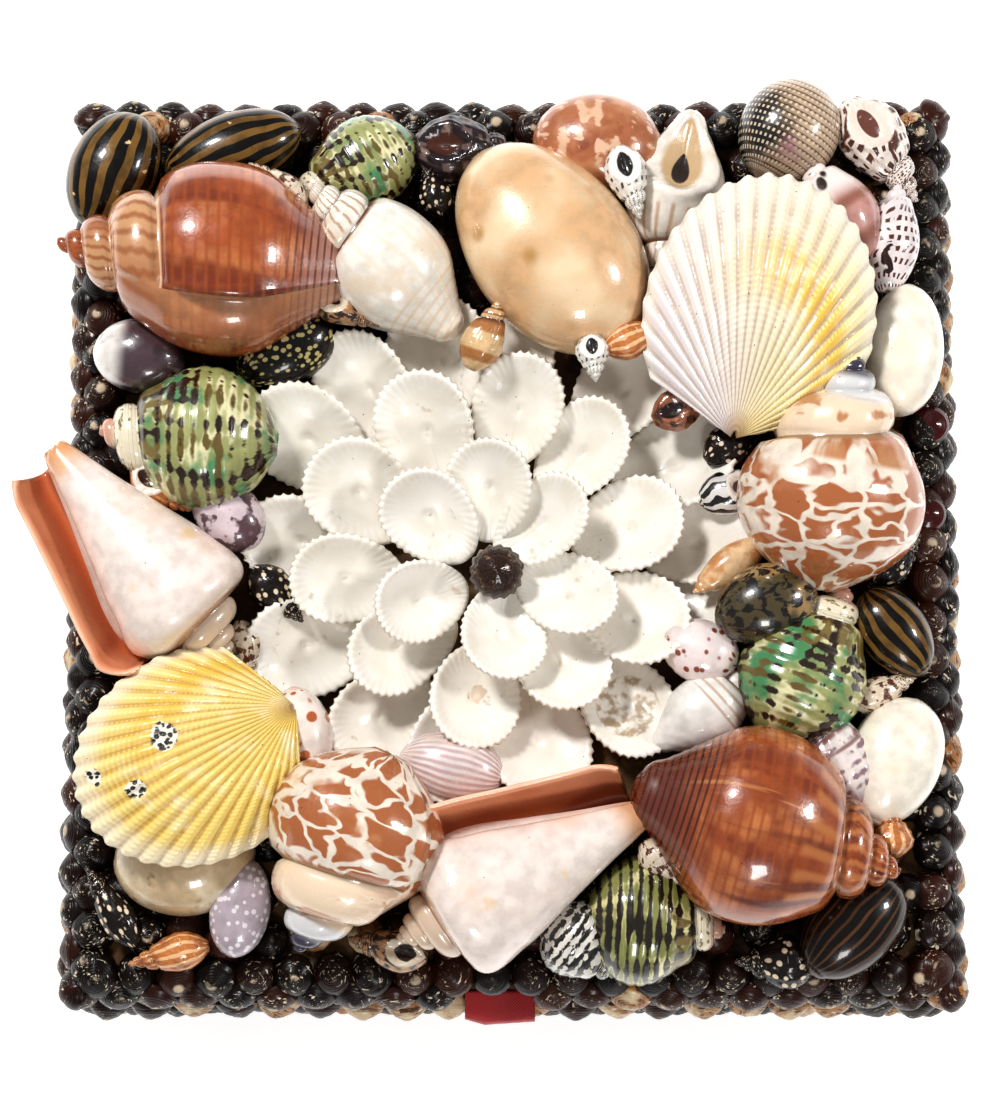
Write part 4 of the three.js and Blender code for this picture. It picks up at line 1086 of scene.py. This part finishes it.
# %% [markdown]
# The colour of a valve follows its ribs and its growth: lilac-white on one side and yellow on the other, a deeper
# band near the margin, brown-grey valleys between the ribs, and a pale rim. The left valve carries three dark
# speckled patches, where something grew on it; a painted mask could place them, but a distance from a spot does.

# %% The finish of a scallop


def scallop_finish(name, low, high, band, valley, patches):
    """Two tones from side to side, a band near the margin, valleys, a worn hinge and a pale rim."""
    p = Paint(name)
    side = p.edge(p.turn, 0.9, -0.8)
    colour = p.mix(side, hue(high), hue(low))
    zone = p.times(p.edge(p.across, 0.45, 0.62), p.edge(p.across, 0.82, 0.7))
    zone = p.times(zone, p.edge(p.turn, -0.6, 0.5))
    colour = p.mix(zone, colour, hue(band))
    wave = p.math("COSINE", p.times(p.turn, math.pi * RIBS))
    groove = p.times(p.edge(wave, -0.3, -0.85), 0.75)
    colour = p.mix(groove, colour, hue(valley))
    colour = p.mix(p.times(cloud(p, 6, 0.5, 0.75), 0.4), colour, hue("#fbf3dc"))
    colour = p.mix(p.times(p.edge(p.across, 0.14, 0.03), 0.6), colour, hue("#b98d5a"))
    colour = p.mix(p.times(p.edge(p.across, 0.84, 0.97), 0.6), colour, hue("#f7efe0"))
    for patch, radius in patches:
        inside = near(p, spot(*patch, 18), radius)
        colour = p.mix(inside, colour, p.mix(dots(p, 1.3, 0.5, 0.05), hue("#f1eadb"), hue("#15120f")))
    colour = p.mix(dots(p, 3.4, 0.05, 0.015), colour, hue("#3a2c1c"))
    fine = p.math("SINE", p.times(p.across, 260))
    return p.finish(colour, fine, 0.05, 0.34, 0.5)


print("The valleys of the colour lie between", RIBS, "ribs")

# %% Build the scallops
DARK_PATCHES = (((170, 738), 3.0), ((98, 778), 1.9), ((142, 792), 2.2))
SCALLOPS = {
    "shell_scallop_right": (57, 51, 78, 62, 54, 17, 7, ("#ece4e4", "#f6e3a2", "#f2c24e", "#c4ad9c", ())),
    "shell_scallop_left": (-73, -50, 208, 54, 49, 15, 5,
                           ("#eecf70", "#f4dc90", "#ecc458", "#c79a42", DARK_PATCHES)),
}
for name, (x, y, heading, length, width, rise, tip, look) in SCALLOPS.items():
    points, faces, corners = scallop(length, width)
    at = (x / 100 * HALF_WIDTH, y / 100 * HALF_DEPTH)
    material = scallop_finish(name + "_finish", *look)
    parts = [(lay(points, at, heading, length, rise, tip), faces, corners, material)]
    made = piece(name + "_valve", parts, (name,))
    print(made.name, len(made.data.polygons), "faces")

# %% [markdown]
# ## The flower
# Thirty white cockle valves lie hollow side up in three rings, like the petals of a dahlia, each with its hinge
# towards the middle and a toothed margin outwards. The list gives each ring's lift above the lid, the lean of its
# petals, how deep they are, how long, and the middle of each petal in the picture.

# %% Places of the petals
FLOWER_PIXEL = (497, 574)
RINGS = {
    "petals_outer": (4.2, 14, 4.0, 31, [
        (438, 360), (505, 372), (620, 390), (672, 460), (695, 540), (685, 605), (625, 700), (540, 738),
        (462, 742), (385, 715), (310, 648), (303, 545), (310, 442), (367, 392)]),
    "petals_middle": (7.4, 18, 4.2, 30, [
        (425, 435), (515, 412), (578, 452), (624, 525), (630, 615), (560, 655), (478, 692),
        (405, 645), (350, 580), (362, 495)]),
    "petals_inner": (10.6, 22, 4.4, 27, [
        (432, 520), (488, 492), (538, 522), (563, 590), (505, 628), (425, 600)]),
}
middle = spot(*FLOWER_PIXEL, 8)
print("Petals in each ring:", {name: len(ring[4]) for name, ring in RINGS.items()})

# %% [markdown]
# A valve is an oval dish with a toothed margin. One petal could be copied thirty times, but real valves differ in
# size and turn, so each is made anew with its own length, width and a slight warp, drawn from seeded numbers.

# %% The mesh of a petal
TEETH = 20
PETAL_THICKNESS = 1.1
chance = np.random.default_rng(7)


def petal(length, width, cup, seed):
    """A cockle valve, hollow side up: an oval dish, hinge at x = 0, margin at x = length, y across, z up."""
    columns, rows = TEETH * 6, 14
    turns, steps = np.linspace(-1, 1, columns + 1), np.linspace(0, 1, rows) ** 0.8
    round_it, out = np.meshgrid(turns, steps, indexing="ij")
    angle = math.pi * round_it
    toothed = np.clip((0.78 - np.abs(round_it)) / 0.2, 0, 1)
    teeth = np.cos(2 * math.pi * TEETH * round_it) * toothed
    reach = out * (1 + 0.028 * teeth * out**10 + 0.03 * np.sin(2 * angle + seed))
    x = length / 2 * (1 + reach * np.cos(angle))
    y = width / 2 * reach * np.sin(angle) * (1 + 0.16 * np.cos(angle))
    edge = np.clip((out - 0.82) / 0.18, 0, 1)
    z = -cup * (1 - out**2.4) + 0.16 * teeth * edge**1.4 + 0.5 * np.sin(2 * angle + seed) * out**2
    z = z - 0.5 * cup * np.clip(1 - x / length, 0, 1) ** 2 - 0.5 * edge**5
    return sheet_mesh(np.stack([x, y, z], -1), np.stack([round_it, out], -1), PETAL_THICKNESS)


print("A petal has", len(petal(30, 22, 4, 0)[1]), "faces")

# %% [markdown]
# The valves are white and hardly varnished, with painted shade in the hollow, tan between the teeth, a round
# tan spot on one, and sand and a little brown dirt where the maker's glue held it. All petals share the one
# material.

# %% The finish of the petals


def white_valve():
    """White, with painted shade in the hollows, tan between the teeth, one tan spot, sand on one valve and a little
    dirt.
    """
    p = Paint("cockle_white_valves")
    colour = p.mix(p.edge(p.noise(7, 3), 0.35, 0.7), hue("#f6f1e8"), hue("#ece5d8"))
    # painted shade: the middle of each hollow is coloured darker cream
    colour = p.mix(p.times(p.edge(p.across, 0.8, 0.1), 0.4), colour, hue("#ded6c8"))
    teeth = p.math("COSINE", p.times(p.turn, 2 * math.pi * TEETH))
    rim = p.times(p.edge(p.across, 0.8, 1.0), p.edge(teeth, 0.2, -0.8))
    colour = p.mix(p.times(rim, 0.2), colour, hue("#c9b79c"))
    colour = p.mix(p.times(near(p, spot(478, 692, 8), 2.0), 0.6), colour, hue("#b99a78"))
    sand = p.times(near(p, spot(628, 706, 6), 7.5), cloud(p, 3, 0.42, 0.6))
    colour = p.mix(p.times(sand, 0.75), colour, hue("#9a7a4a"))
    grime = p.times(cloud(p, 3, 0.6, 0.72), cloud(p, 28, 0.52, 0.62))
    colour = p.mix(p.times(grime, 0.45), colour, hue("#a8885a"))
    colour = p.mix(dots(p, 3.8, 0.04, 0.012), colour, hue("#2a1c12"))
    lines = p.scaled((p.times(teeth, p.edge(p.across, 0.55, 0.95)), 0.4), (p.noise(1.2, 4), 0.3))
    return p.finish(colour, lines, 0.1, 0.42, 0.15)


PETAL_WHITE = white_valve()
print("Petal material:", PETAL_WHITE.name)

# %% [markdown]
# Each petal is turned three times, as a hand would do it: it rolls on its axis so that it overlaps its neighbour,
# leans up at its margin, and swings to its own direction from the middle. Then it is set down in its place.

# %% Build the petals
PETAL_ROLL, PETAL_SWING = -11, -8
ABOVE_LID = 0.3


def turned(points, first, second, angle):
    """Turns points by an angle, from one axis towards another."""
    a, b = points[:, first].copy(), points[:, second].copy()
    points[:, first] = a * math.cos(angle) - b * math.sin(angle)
    points[:, second] = a * math.sin(angle) + b * math.cos(angle)


for name, (lift, lean, cup, usual, places) in RINGS.items():
    parts = []
    for px, py in places:
        length = usual * chance.uniform(0.95, 1.06)
        width = length * chance.uniform(0.68, 0.78)
        points, faces, corners = petal(length, width, cup, chance.uniform(0, 6))
        place = spot(px, py, lift + 2)
        way = math.atan2(place[1] - middle[1], place[0] - middle[0])
        way += math.radians(chance.uniform(-8, 8) + PETAL_SWING)
        tilt = math.radians(lean + chance.uniform(-2, 2))
        roll = math.radians(PETAL_ROLL + chance.uniform(-3, 3))
        points = points - np.array([length / 2, 0, 0])
        turned(points, 1, 2, roll)
        turned(points, 0, 2, tilt)
        turned(points, 0, 1, way)
        points += np.array([place[0], place[1], LID_TOP + lift + 2.2])
        points[:, 2] = np.maximum(points[:, 2], LID_TOP + ABOVE_LID)
        parts.append((points, faces, corners, PETAL_WHITE))
    made = piece(name + "_valves", parts, (name,), weld=False)
    print(made.name, "has", len(places), "valves and", len(made.data.polygons), "faces")

# %% [markdown]
# One dark ribbed top shell covers the hinges in the middle of the flower, apex up. It is the coil of a top shell
# with sixteen ribs, raised on the inner petals.

# %% The dark shell in the middle of the flower
CENTRE_HEIGHT, CENTRE_WIDTH, CENTRE_RIBS = 8, 12.5, 16
centre_look = shell_finish("flower_centre_finish", "#3a241b", [
    (beads, dict(around=16, count=4, width=0.4), "#120b09"),
    (cloud, dict(size=2, low=0.6, high=0.7), "#8a6a58")], lambda p: beads(p, 16, 4, 0.5, 0.5), 0.4)


def standing(points, place, height, lean=(0, 0)):
    """Turns a shell apex up and sets its base at a place."""
    x, y, z = points.T
    up = height - z
    return np.stack([x + lean[0] * up + place[0], -y + lean[1] * up + place[1], up + place[2]], -1)


points, faces, corners = coil("top", CENTRE_HEIGHT, CENTRE_WIDTH, 48, 8, 8, 0,
                              lambda turn, across, share: 0.05 * np.sin(2 * np.pi * turn * CENTRE_RIBS))
points = standing(points, (middle[0], middle[1], LID_TOP + 10), CENTRE_HEIGHT)
parts = [(points, faces, corners, centre_look)]
made = piece("flower_centre_top_shell", parts, ("flower_centre_shell",))
print(made.name, "has", len(made.data.polygons), "faces")

# %% [markdown]
# ## Top shells on the edges and sides
# Hundreds of small dark top shells cover the border of the lid and the sides of the tray, apex outwards. They
# could be particles or instances, but each piece has to be one mesh. So one small coil is made once, and its
# points are turned, sized and set down for each shell. A number in each shell's UV map picks its tone: most are
# black-brown with torn pale flecks, and some are tan and cream with brown flames.

# %% The finish of the top shells


def small_look(name, dark, pale, tan, share):
    """Black-brown with pale flecks, and a share of tan shells, by the tone that each shell carries."""
    p = Paint(name)
    tone = p.angle
    base = p.mix(p.edge(tone, 0.3, 0.9), hue(dark), hue("#3a1a0f"))
    is_tan = p.edge(tone, 1 - share - 0.02, 1 - share)
    base = p.mix(is_tan, base, hue(tan))
    base = p.mix(p.times(is_tan, flames(p, 9, 4.0, 0.5, 0.58)), base, hue("#4f3220"))
    base = p.mix(p.times(is_tan, cloud(p, 7, 0.5, 0.62)), base, hue("#d9c3a0"))
    flecks = p.times(flames(p, 13, 3.0, 0.6, 0.65), p.edge(p.noise(9, 2), 0.42, 0.55))
    base = p.mix(flecks, base, hue(pale))
    base = p.mix(p.times(p.edge(p.along, 0.08, 0.02), cloud(p, 6, 0.5, 0.6)), base, hue("#c9b49a"))
    return p.finish(base, cords(p, 3, 0.5, 0.8), 0.06, 0.3, 0.05, 0.25)


TOP_DARK = small_look("top_shells_dark_finish", "#130a08", "#e0d2b8", "#a8713f", 0.04)
TOP_SIDE = small_look("top_shells_side_finish", "#1a1210", "#e0d2b8", "#b98a5c", 0.3)
print("Finishes of the top shells:", TOP_DARK.name, "and", TOP_SIDE.name)

# %% [markdown]
# One small shell is the unit coil, as wide and as tall as 1 mm, sized and turned to stand with its apex outwards.
# No two lean the same way on a glued box, so each gets a little lean and a turn by chance, and nothing goes under
# the ground that the box stands on.

# %% One small top shell
FINE_TOP = coil("top", 1, 1, 18, 4, 4)
PLAIN_TOP = coil("top", 1, 1, 12, 3, 3)
LEAN = 0.16
NO_COURSE_WAY = [0.31, 0.52, 0.79]
ABOVE_GROUND = 0.1


def top_shell(template, place, out, size, height, look, tone=0.0):
    """One small shell at a place, its apex towards out, turned and leaning by chance."""
    unit, faces, corners = template
    out = np.array(out, float) + chance.normal(0, LEAN, 3)
    out /= np.linalg.norm(out)
    side = np.cross(out, NO_COURSE_WAY)
    side /= np.linalg.norm(side)
    third = np.cross(out, side)
    turn = chance.uniform(0, 2 * math.pi)
    x = unit[:, 0] * math.cos(turn) - unit[:, 1] * math.sin(turn)
    y = unit[:, 0] * math.sin(turn) + unit[:, 1] * math.cos(turn)
    z = 1 - unit[:, 2]
    points = np.outer(x, side) * size + np.outer(-y, third) * size + np.outer(z, out) * height
    points += np.array(place)
    points[:, 2] = np.maximum(points[:, 2], ABOVE_GROUND)
    toned = corners.copy()
    toned[..., 0] += round(chance.uniform(0, 50))
    toned[..., 3] = chance.uniform(tone, 1)
    return points, faces, toned, look


print("Faces of one top shell:", len(FINE_TOP[1]), "on the edge and", len(PLAIN_TOP[1]), "on the sides")

# %% [markdown]
# The courses run along the four walls. Each wall is the same work turned a quarter, so a wall is a rule that turns
# a place along it and a distance outwards into x and y. The lid has three courses: on its edge, on the corner of
# its side, and a low one of smaller shells that stops short of the tray, so that the lid still lifts off. The
# ribbon comes out at the front, and the courses there leave it room.

# %% Build the courses of the lid
WALLS = {
    "front": (lambda along, out: (along, -out), HALF_WIDTH, HALF_DEPTH, (0, -1)),
    "right": (lambda along, out: (out, along), HALF_DEPTH, HALF_WIDTH, (1, 0)),
    "back": (lambda along, out: (-along, out), HALF_WIDTH, HALF_DEPTH, (0, 1)),
    "left": (lambda along, out: (-out, -along), HALF_DEPTH, HALF_WIDTH, (-1, 0)),
}
RIBBON_WIDTH, RIBBON_MIDDLE = 16.6, -3.0
EDGE_PITCH, LOW_PITCH, SIDE_PITCH, SIDE_ROWS = 9.2, 7.4, 10.4, 4
# least and greatest width and height, mm
EDGE_WIDTH, EDGE_HEIGHT, CORNER_HEIGHT = (10, 11.4), (5.6, 6.6), (5.2, 6.2)
LOW_WIDTH, LOW_HEIGHT = (7.2, 8), (3.8, 4.6)
SIDE_WIDTH, SIDE_HEIGHT = (11, 12), (6.4, 7.4)
# distance inside the wall and below the lid's top, mm
ON_EDGE, ON_CORNER, ON_LOW = (3.9, 0.8), (0.6, 3.6), (0.2, 8.4)


def course_of_lid(side):
    """The parts of the three courses on one side of the lid."""
    at, half, out, (wx, wy) = WALLS[side]
    parts = []

    def add(template, along, where, lean, widths, heights):
        x, y = at(along, out - where[0])
        parts.append(top_shell(template, (x, y, LID_TOP - where[1]), lean,
                               chance.uniform(*widths), chance.uniform(*heights), TOP_DARK))

    def is_free(along, share):
        return side != "front" or abs(along - RIBBON_MIDDLE) >= share * RIBBON_WIDTH

    count = round(2 * half / EDGE_PITCH)
    for step in range(count + 1):
        along = -half + 2 * half * step / count
        if step < count:
            add(FINE_TOP, along + EDGE_PITCH / 2, ON_EDGE, (wx * 0.3, wy * 0.3, 1), EDGE_WIDTH, EDGE_HEIGHT)
        if is_free(along, 0.55):
            add(FINE_TOP, along, ON_CORNER, (wx, wy, 0.45), EDGE_WIDTH, CORNER_HEIGHT)
    count = round(2 * half / LOW_PITCH)
    for step in range(count + 1):
        along = -half + 2 * half * step / count
        if is_free(along, 0.7):
            add(PLAIN_TOP, along, ON_LOW, (wx, wy, 0.1), LOW_WIDTH, LOW_HEIGHT)
    return parts


print("Shells along the front edge:", round(2 * HALF_WIDTH / EDGE_PITCH))

# %% [markdown]
# The tray has four rows of larger and plainer shells, every second row moved by half a shell, as bricks are. The
# upper row is lighter, because more tan shells show there in the picture.

# %% Build the courses of the tray
LOWEST_ROW, TRAY_TOP = 1.2, 42.3
PALE_TONE = 0.45


def course_of_tray(side):
    """The parts of the four rows on one wall of the tray."""
    at, half, out, way = WALLS[side]
    parts = []
    count = round(2 * half / SIDE_PITCH)
    for row in range(SIDE_ROWS):
        height = LOWEST_ROW + (TRAY_TOP - LOWEST_ROW) * (row + 0.5) / SIDE_ROWS
        is_upper = row == SIDE_ROWS - 1
        for step in range(count + 1):
            along = -half + 2 * half * (step + (row % 2) / 2) / count
            if along > half + 1:
                continue
            x, y = at(along, out + 0.2 + 0.5 * is_upper)
            parts.append(top_shell(PLAIN_TOP, (x, y, height), (*way, 0.1), chance.uniform(*SIDE_WIDTH),
                                   chance.uniform(*SIDE_HEIGHT), TOP_SIDE, PALE_TONE * is_upper))
    return parts


for side in WALLS:
    high = piece("lid_edge_top_shells_" + side, course_of_lid(side),
                 ("lid_edge_shells_" + side,), weld=False)
    low = piece("tray_top_shells_" + side, course_of_tray(side),
                ("tray_shells_" + side,), weld=False)
    print(side, "edge:", len(high.data.polygons), "faces; side:", len(low.data.polygons), "faces")

# %% [markdown]
# Dark top shells also fill the gaps of the mosaic, so that hardly any board shows. They could be set by hand in
# each gap, but a loose grid over the lid does it; the flower stays free, and most shells end up under larger ones.

# %% Build the shells in the gaps
GRID, GRID_ROWS, JITTER = 10.2, 9, 1.5
BORDER, FLOWER_RADIUS = 8, 66
parts = []
for row in range(-GRID_ROWS, GRID_ROWS + 1):
    for column in range(-GRID_ROWS, GRID_ROWS + 1):
        x = (column + (row % 2) / 2) * GRID + chance.uniform(-JITTER, JITTER)
        y = row * GRID + chance.uniform(-JITTER, JITTER)
        in_flower = math.hypot(x - middle[0], y - middle[1]) < FLOWER_RADIUS
        if abs(x) > HALF_WIDTH - BORDER or abs(y) > HALF_DEPTH - BORDER or in_flower:
            continue
        parts.append(top_shell(PLAIN_TOP, (x, y, LID_TOP + 0.1), (0, 0, 1), chance.uniform(9, 11),
                               chance.uniform(5, 7), TOP_DARK))
made = piece("gap_top_shells", parts, weld=False)
print(len(parts), "shells in the gaps,", len(made.data.polygons), "faces")

# %% [markdown]
# ## Small filling shells
# Between the large shells sit small whelks, dark with pale beads or orange, wherever a gap was left. They carry
# nothing, so the CAD model leaves them out. Each is placed by two pixels of the picture, its apex and its tip,
# and by its width in pixels and the height of its axis above the lid.

# %% Places and colours of the filling shells
# apex x, y and tip x, y in pixels, width in pixels, height in mm, look
FILLERS = {
    "beaded_back": (249, 163, 306, 211, 38, 17, "banded"),
    "dotted_back": (425, 162, 443, 216, 36, 9, "speckled"),
    "white_mouth_back": (640, 219, 618, 146, 42, 19, "white"),
    "orange_middle": (672, 324, 604, 350, 37, 18, "orange"),
    "white_mouth_middle": (596, 382, 590, 334, 33, 20, "white"),
    "checked_right": (921, 534, 874, 584, 38, 7, "speckled"),
    "spotted_right": (917, 676, 851, 706, 34, 9, "banded"),
    "striped_front_right": (892, 807, 893, 858, 40, 11, "orange"),
    "netted_front": (735, 962, 817, 962, 52, 6, "speckled"),
    "beaded_front": (689, 890, 642, 842, 38, 15, "banded"),
    "orange_front_left": (128, 964, 209, 945, 37, 7, "orange"),
    "checked_front_left": (86, 866, 136, 947, 34, 7, "speckled"),
    "open_front": (348, 938, 428, 958, 42, 8, "mouth"),
    "pale_left": (252, 684, 240, 620, 33, 8, "banded"),
    "dark_left": (303, 622, 252, 568, 42, 8, "speckled"),
    "open_left": (380, 326, 312, 290, 41, 15, "mouth"),
}
FILLER_LOOKS = {
    "speckled": ("#1a1310", [(spots, dict(around=17, rows=7, size=0.33, wander=0.7), "#e3d0b4")]),
    "white": ("#f1ece2", [(beads, dict(around=14, count=6, width=0.42), "#4a3a30"),
                          (opening, dict(outer=1.9), "#f6f1ea"), (opening, dict(outer=0.75), "#1a1210")]),
    # painted shade: the near-black inner oval stands for shade inside the opening
    "mouth": ("#b98a5e", [(broken_flames, dict(count=14, long=5, cords=5, low=0.46, high=0.54), "#3a2014"),
                          (opening, dict(outer=1.5), "#e6d6bf"), (opening, dict(outer=0.5), "#24140f")]),
    # painted shade: the near-black inner oval stands for shade inside the opening
    "orange": ("#c47a3e", [(stripes, dict(count=11, width=0.4, wobble=0.3), "#e9b98a"),
                           (cloud, dict(size=4, low=0.5, high=0.7), "#9a5424")]),
    "banded": ("#e4d2bb", [(broken_flames, dict(count=16, long=5, cords=5, low=0.52, high=0.58), "#5e3520")]),
}
print("Looks of the filling shells:", sorted(FILLER_LOOKS))

# %% [markdown]
# All of them are one family of coil, the small ribbed whelk, and the five looks are shared. The red discs at the
# right edge are flat top shells; they lean a little outwards.

# %% Build the filling shells
looks = {key: shell_finish("filler_" + key, base, marks, RELIEF["nassa"], 0.15)
         for key, (base, marks) in FILLER_LOOKS.items()}
for name, (ax, ay, bx, by, wide, height, key) in FILLERS.items():
    apex, tip_place = spot(ax, ay, height), spot(bx, by, height)
    gap = tip_place - apex
    length = float(np.hypot(gap[0], gap[1]))
    heading = math.degrees(math.atan2(gap[1], gap[0]))
    width = wide * VIEW_DISTANCE / FOCAL_PIXELS
    points, faces, corners = coil("nassa", length, width, 44, 6, 20, 180, sculpt_for(name, "nassa"))
    middle_place = (apex + tip_place) / 2
    points = lay(points, middle_place, heading, length, height)
    piece("filler_" + name, [(points, faces, corners, looks[key])])
DISC_LOOK = shell_finish("red_disc_finish", "#5a0f14", [(cords, dict(count=3, width=0.4), "#2c080a")])
DISC_HEIGHT, DISC_LEAN = 4, (0.25, 0)
DISCS = {"red_disc_1": (928, 425, 9.5), "red_disc_2": (926, 514, 9.0)}
for name, (px, py, wide) in DISCS.items():
    points, faces, corners = coil("top", DISC_HEIGHT, wide, 32, 5, 5)
    points = standing(points, spot(px, py, 3) - np.array([0, 0, 1.5]), DISC_HEIGHT, DISC_LEAN)
    piece(name, [(points, faces, corners, DISC_LOOK)])
print(len(FILLERS), "filling shells and", len(DISCS), "discs")

# %% [markdown]
# ## The board
# Under the shells are the tray and the lid of mustard-brown board, seen only in gaps, inside and underneath.
# New meshes would add nothing, because their CAD meshes are right. So these stay and only get a finish:
# paper-covered board coloured dark brown, darker than its mustard, as painted shade for the gaps between the
# shells, with mustard patches, darker blotches and fibres.

# %% Finish the tray and the lid
p = Paint("board_painted_shade_finish")
# painted shade: the board is coloured dark brown, darker than its own mustard, so the gaps read as shadow
board = p.mix(p.edge(p.noise(18, 5), 0.35, 0.7), hue("#5f421d"), hue("#3a260f"))
board = p.mix(cloud(p, 5, 0.6, 0.72), board, hue("#8a6a2e"))
fibres = p.noise(0.4, 5)
board = p.mix(p.times(p.edge(fibres, 0.5, 0.7), 0.35), board, hue("#4a3216"))
BOARD_PAINTED_SHADE = p.finish(board, fibres, 0.12, 0.75, 0.0)
for name in ("tray", "lid"):
    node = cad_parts[name]
    for slot in node.material_slots:
        slot.material = BOARD_PAINTED_SHADE
    print(name, "keeps its", len(node.data.polygons), "faces and gets", BOARD_PAINTED_SHADE.name)

# %% [markdown]
# ## The ribbon pull
# A loop of red satin ribbon under the front edge lifts the lid. A cloth simulation could drape it, but so short a
# piece is held by its fold, so a path in side view is swept across the ribbon's width: it comes out flat, hangs a
# little, folds under and goes back in.

# %% The form of the ribbon
RIBBON_THICKNESS = 0.3
GLUED = 5.5
path = np.array([
    (0.7, 44.0), (4.0, 43.95), (6.6, 43.9), (8.2, 43.6), (8.95, 42.6), (9.15, 41.2), (9.05, 40.0),
    (8.75, 39.7), (8.5, 40.1), (8.4, 41.4), (8.0, 42.6), (6.8, 43.15), (4.0, 43.25), (0.7, 43.25)])
steps = np.linspace(0, len(path) - 1, 60)
curve = np.stack([np.interp(steps, np.arange(len(path)), path[:, k]) for k in (0, 1)], -1)
for _ in range(3):
    curve[1:-1] = (curve[:-2] + 2 * curve[1:-1] + curve[2:]) / 4
lengths = np.concatenate([[0], np.cumsum(np.hypot(*np.diff(curve, axis=0).T))])
across = np.linspace(-0.5, 0.5, 33)
grid = np.zeros((len(curve), len(across), 3))
grid[..., 0] = RIBBON_MIDDLE + across[None, :] * RIBBON_WIDTH
slope = 1 - 0.3 * (across + 0.5) - 0.45 * np.clip((-0.22 - across) / 0.28, 0, 1)
past_glue = curve[:, None, 0] - GLUED
grid[..., 1] = -HALF_DEPTH - GLUED - past_glue * np.where(past_glue > 0, slope, 1)
grid[..., 2] = curve[:, None, 1] + 0.12 * np.sin(9 * across[None, :])
uv = np.stack(np.meshgrid(lengths, across * RIBBON_WIDTH, indexing="ij"), -1)
points, faces, corners = sheet_mesh(grid, uv, RIBBON_THICKNESS)
print("The ribbon is", RIBBON_WIDTH, "mm wide and", round(float(lengths[-1]), 1), "mm long")

# %% [markdown]
# Its satin shows fine slanting lines with painted highlights and a soft sheen; one side is painted lighter, and
# painted shade darkens it past the slanting fold. A woven picture could be laid on it, but one wave across both
# of its directions gives the slanting lines at their real width.

# %% The finish of the ribbon
p = Paint("ribbon_satin")
weave = p.math("SINE", p.scaled((p.turn, 9.0), (p.across, 9.0)))
# painted light: one side of the ribbon is coloured lighter red
shade = p.edge(p.across, 0.25 * RIBBON_WIDTH, -0.35 * RIBBON_WIDTH)
colour = p.mix(shade, hue("#a80f1a"), hue("#c92a30"))
# painted shade: darker red past the slanting fold
fold_painted_shade = p.edge(p.scaled((p.turn, 1.0), (p.across, -0.35)), 9.2, 9.5)
colour = p.mix(p.times(fold_painted_shade, 0.6), colour, hue("#6a070e"))
# painted highlights: the crests of the slanting weave are coloured lighter
colour = p.mix(p.times(p.edge(weave, -0.2, 0.9), 0.7), colour, hue("#dc4448"))
RIBBON = p.finish(colour, weave, 0.06, 0.42, 0.0)
p.shader.inputs["Sheen Weight"].default_value = 0.4
parts = [(points, faces, corners, RIBBON)]
ribbon = piece("ribbon_pull_satin", parts, ("ribbon_pull",), weld=False)
print(ribbon.name, "has", len(faces), "faces")

# %% [markdown]
# ## The floor
# The box stands on a plain white ground. A large plane takes its soft shadow and shines a little itself, which
# keeps it white as in the picture.

# %% Floor
floor_mesh = bpy.data.meshes.new("floor")
FLOOR_HALF, FLOOR_LEVEL = 3.0, -0.1 * MM
FLOOR_SHINE = 0.5
signs = ((-1, -1), (1, -1), (1, 1), (-1, 1))
floor_corners = [(x * FLOOR_HALF, y * FLOOR_HALF, FLOOR_LEVEL) for x, y in signs]
floor_mesh.from_pydata(floor_corners, [], [(0, 1, 2, 3)])
floor = bpy.data.objects.new("floor", floor_mesh)
bpy.context.collection.objects.link(floor)
p = Paint("floor_white")
p.finish(p.mix(p.noise(60, 2), hue("#f8f8f8"), hue("#fbfbfb")), None, 0, 0.8, 0.0)
p.shader.inputs["Emission Color"].default_value = (1, 1, 1, 1)
p.shader.inputs["Emission Strength"].default_value = FLOOR_SHINE
floor_mesh.materials.append(p.material)
print("The ground is", 2 * FLOOR_HALF, "m wide")
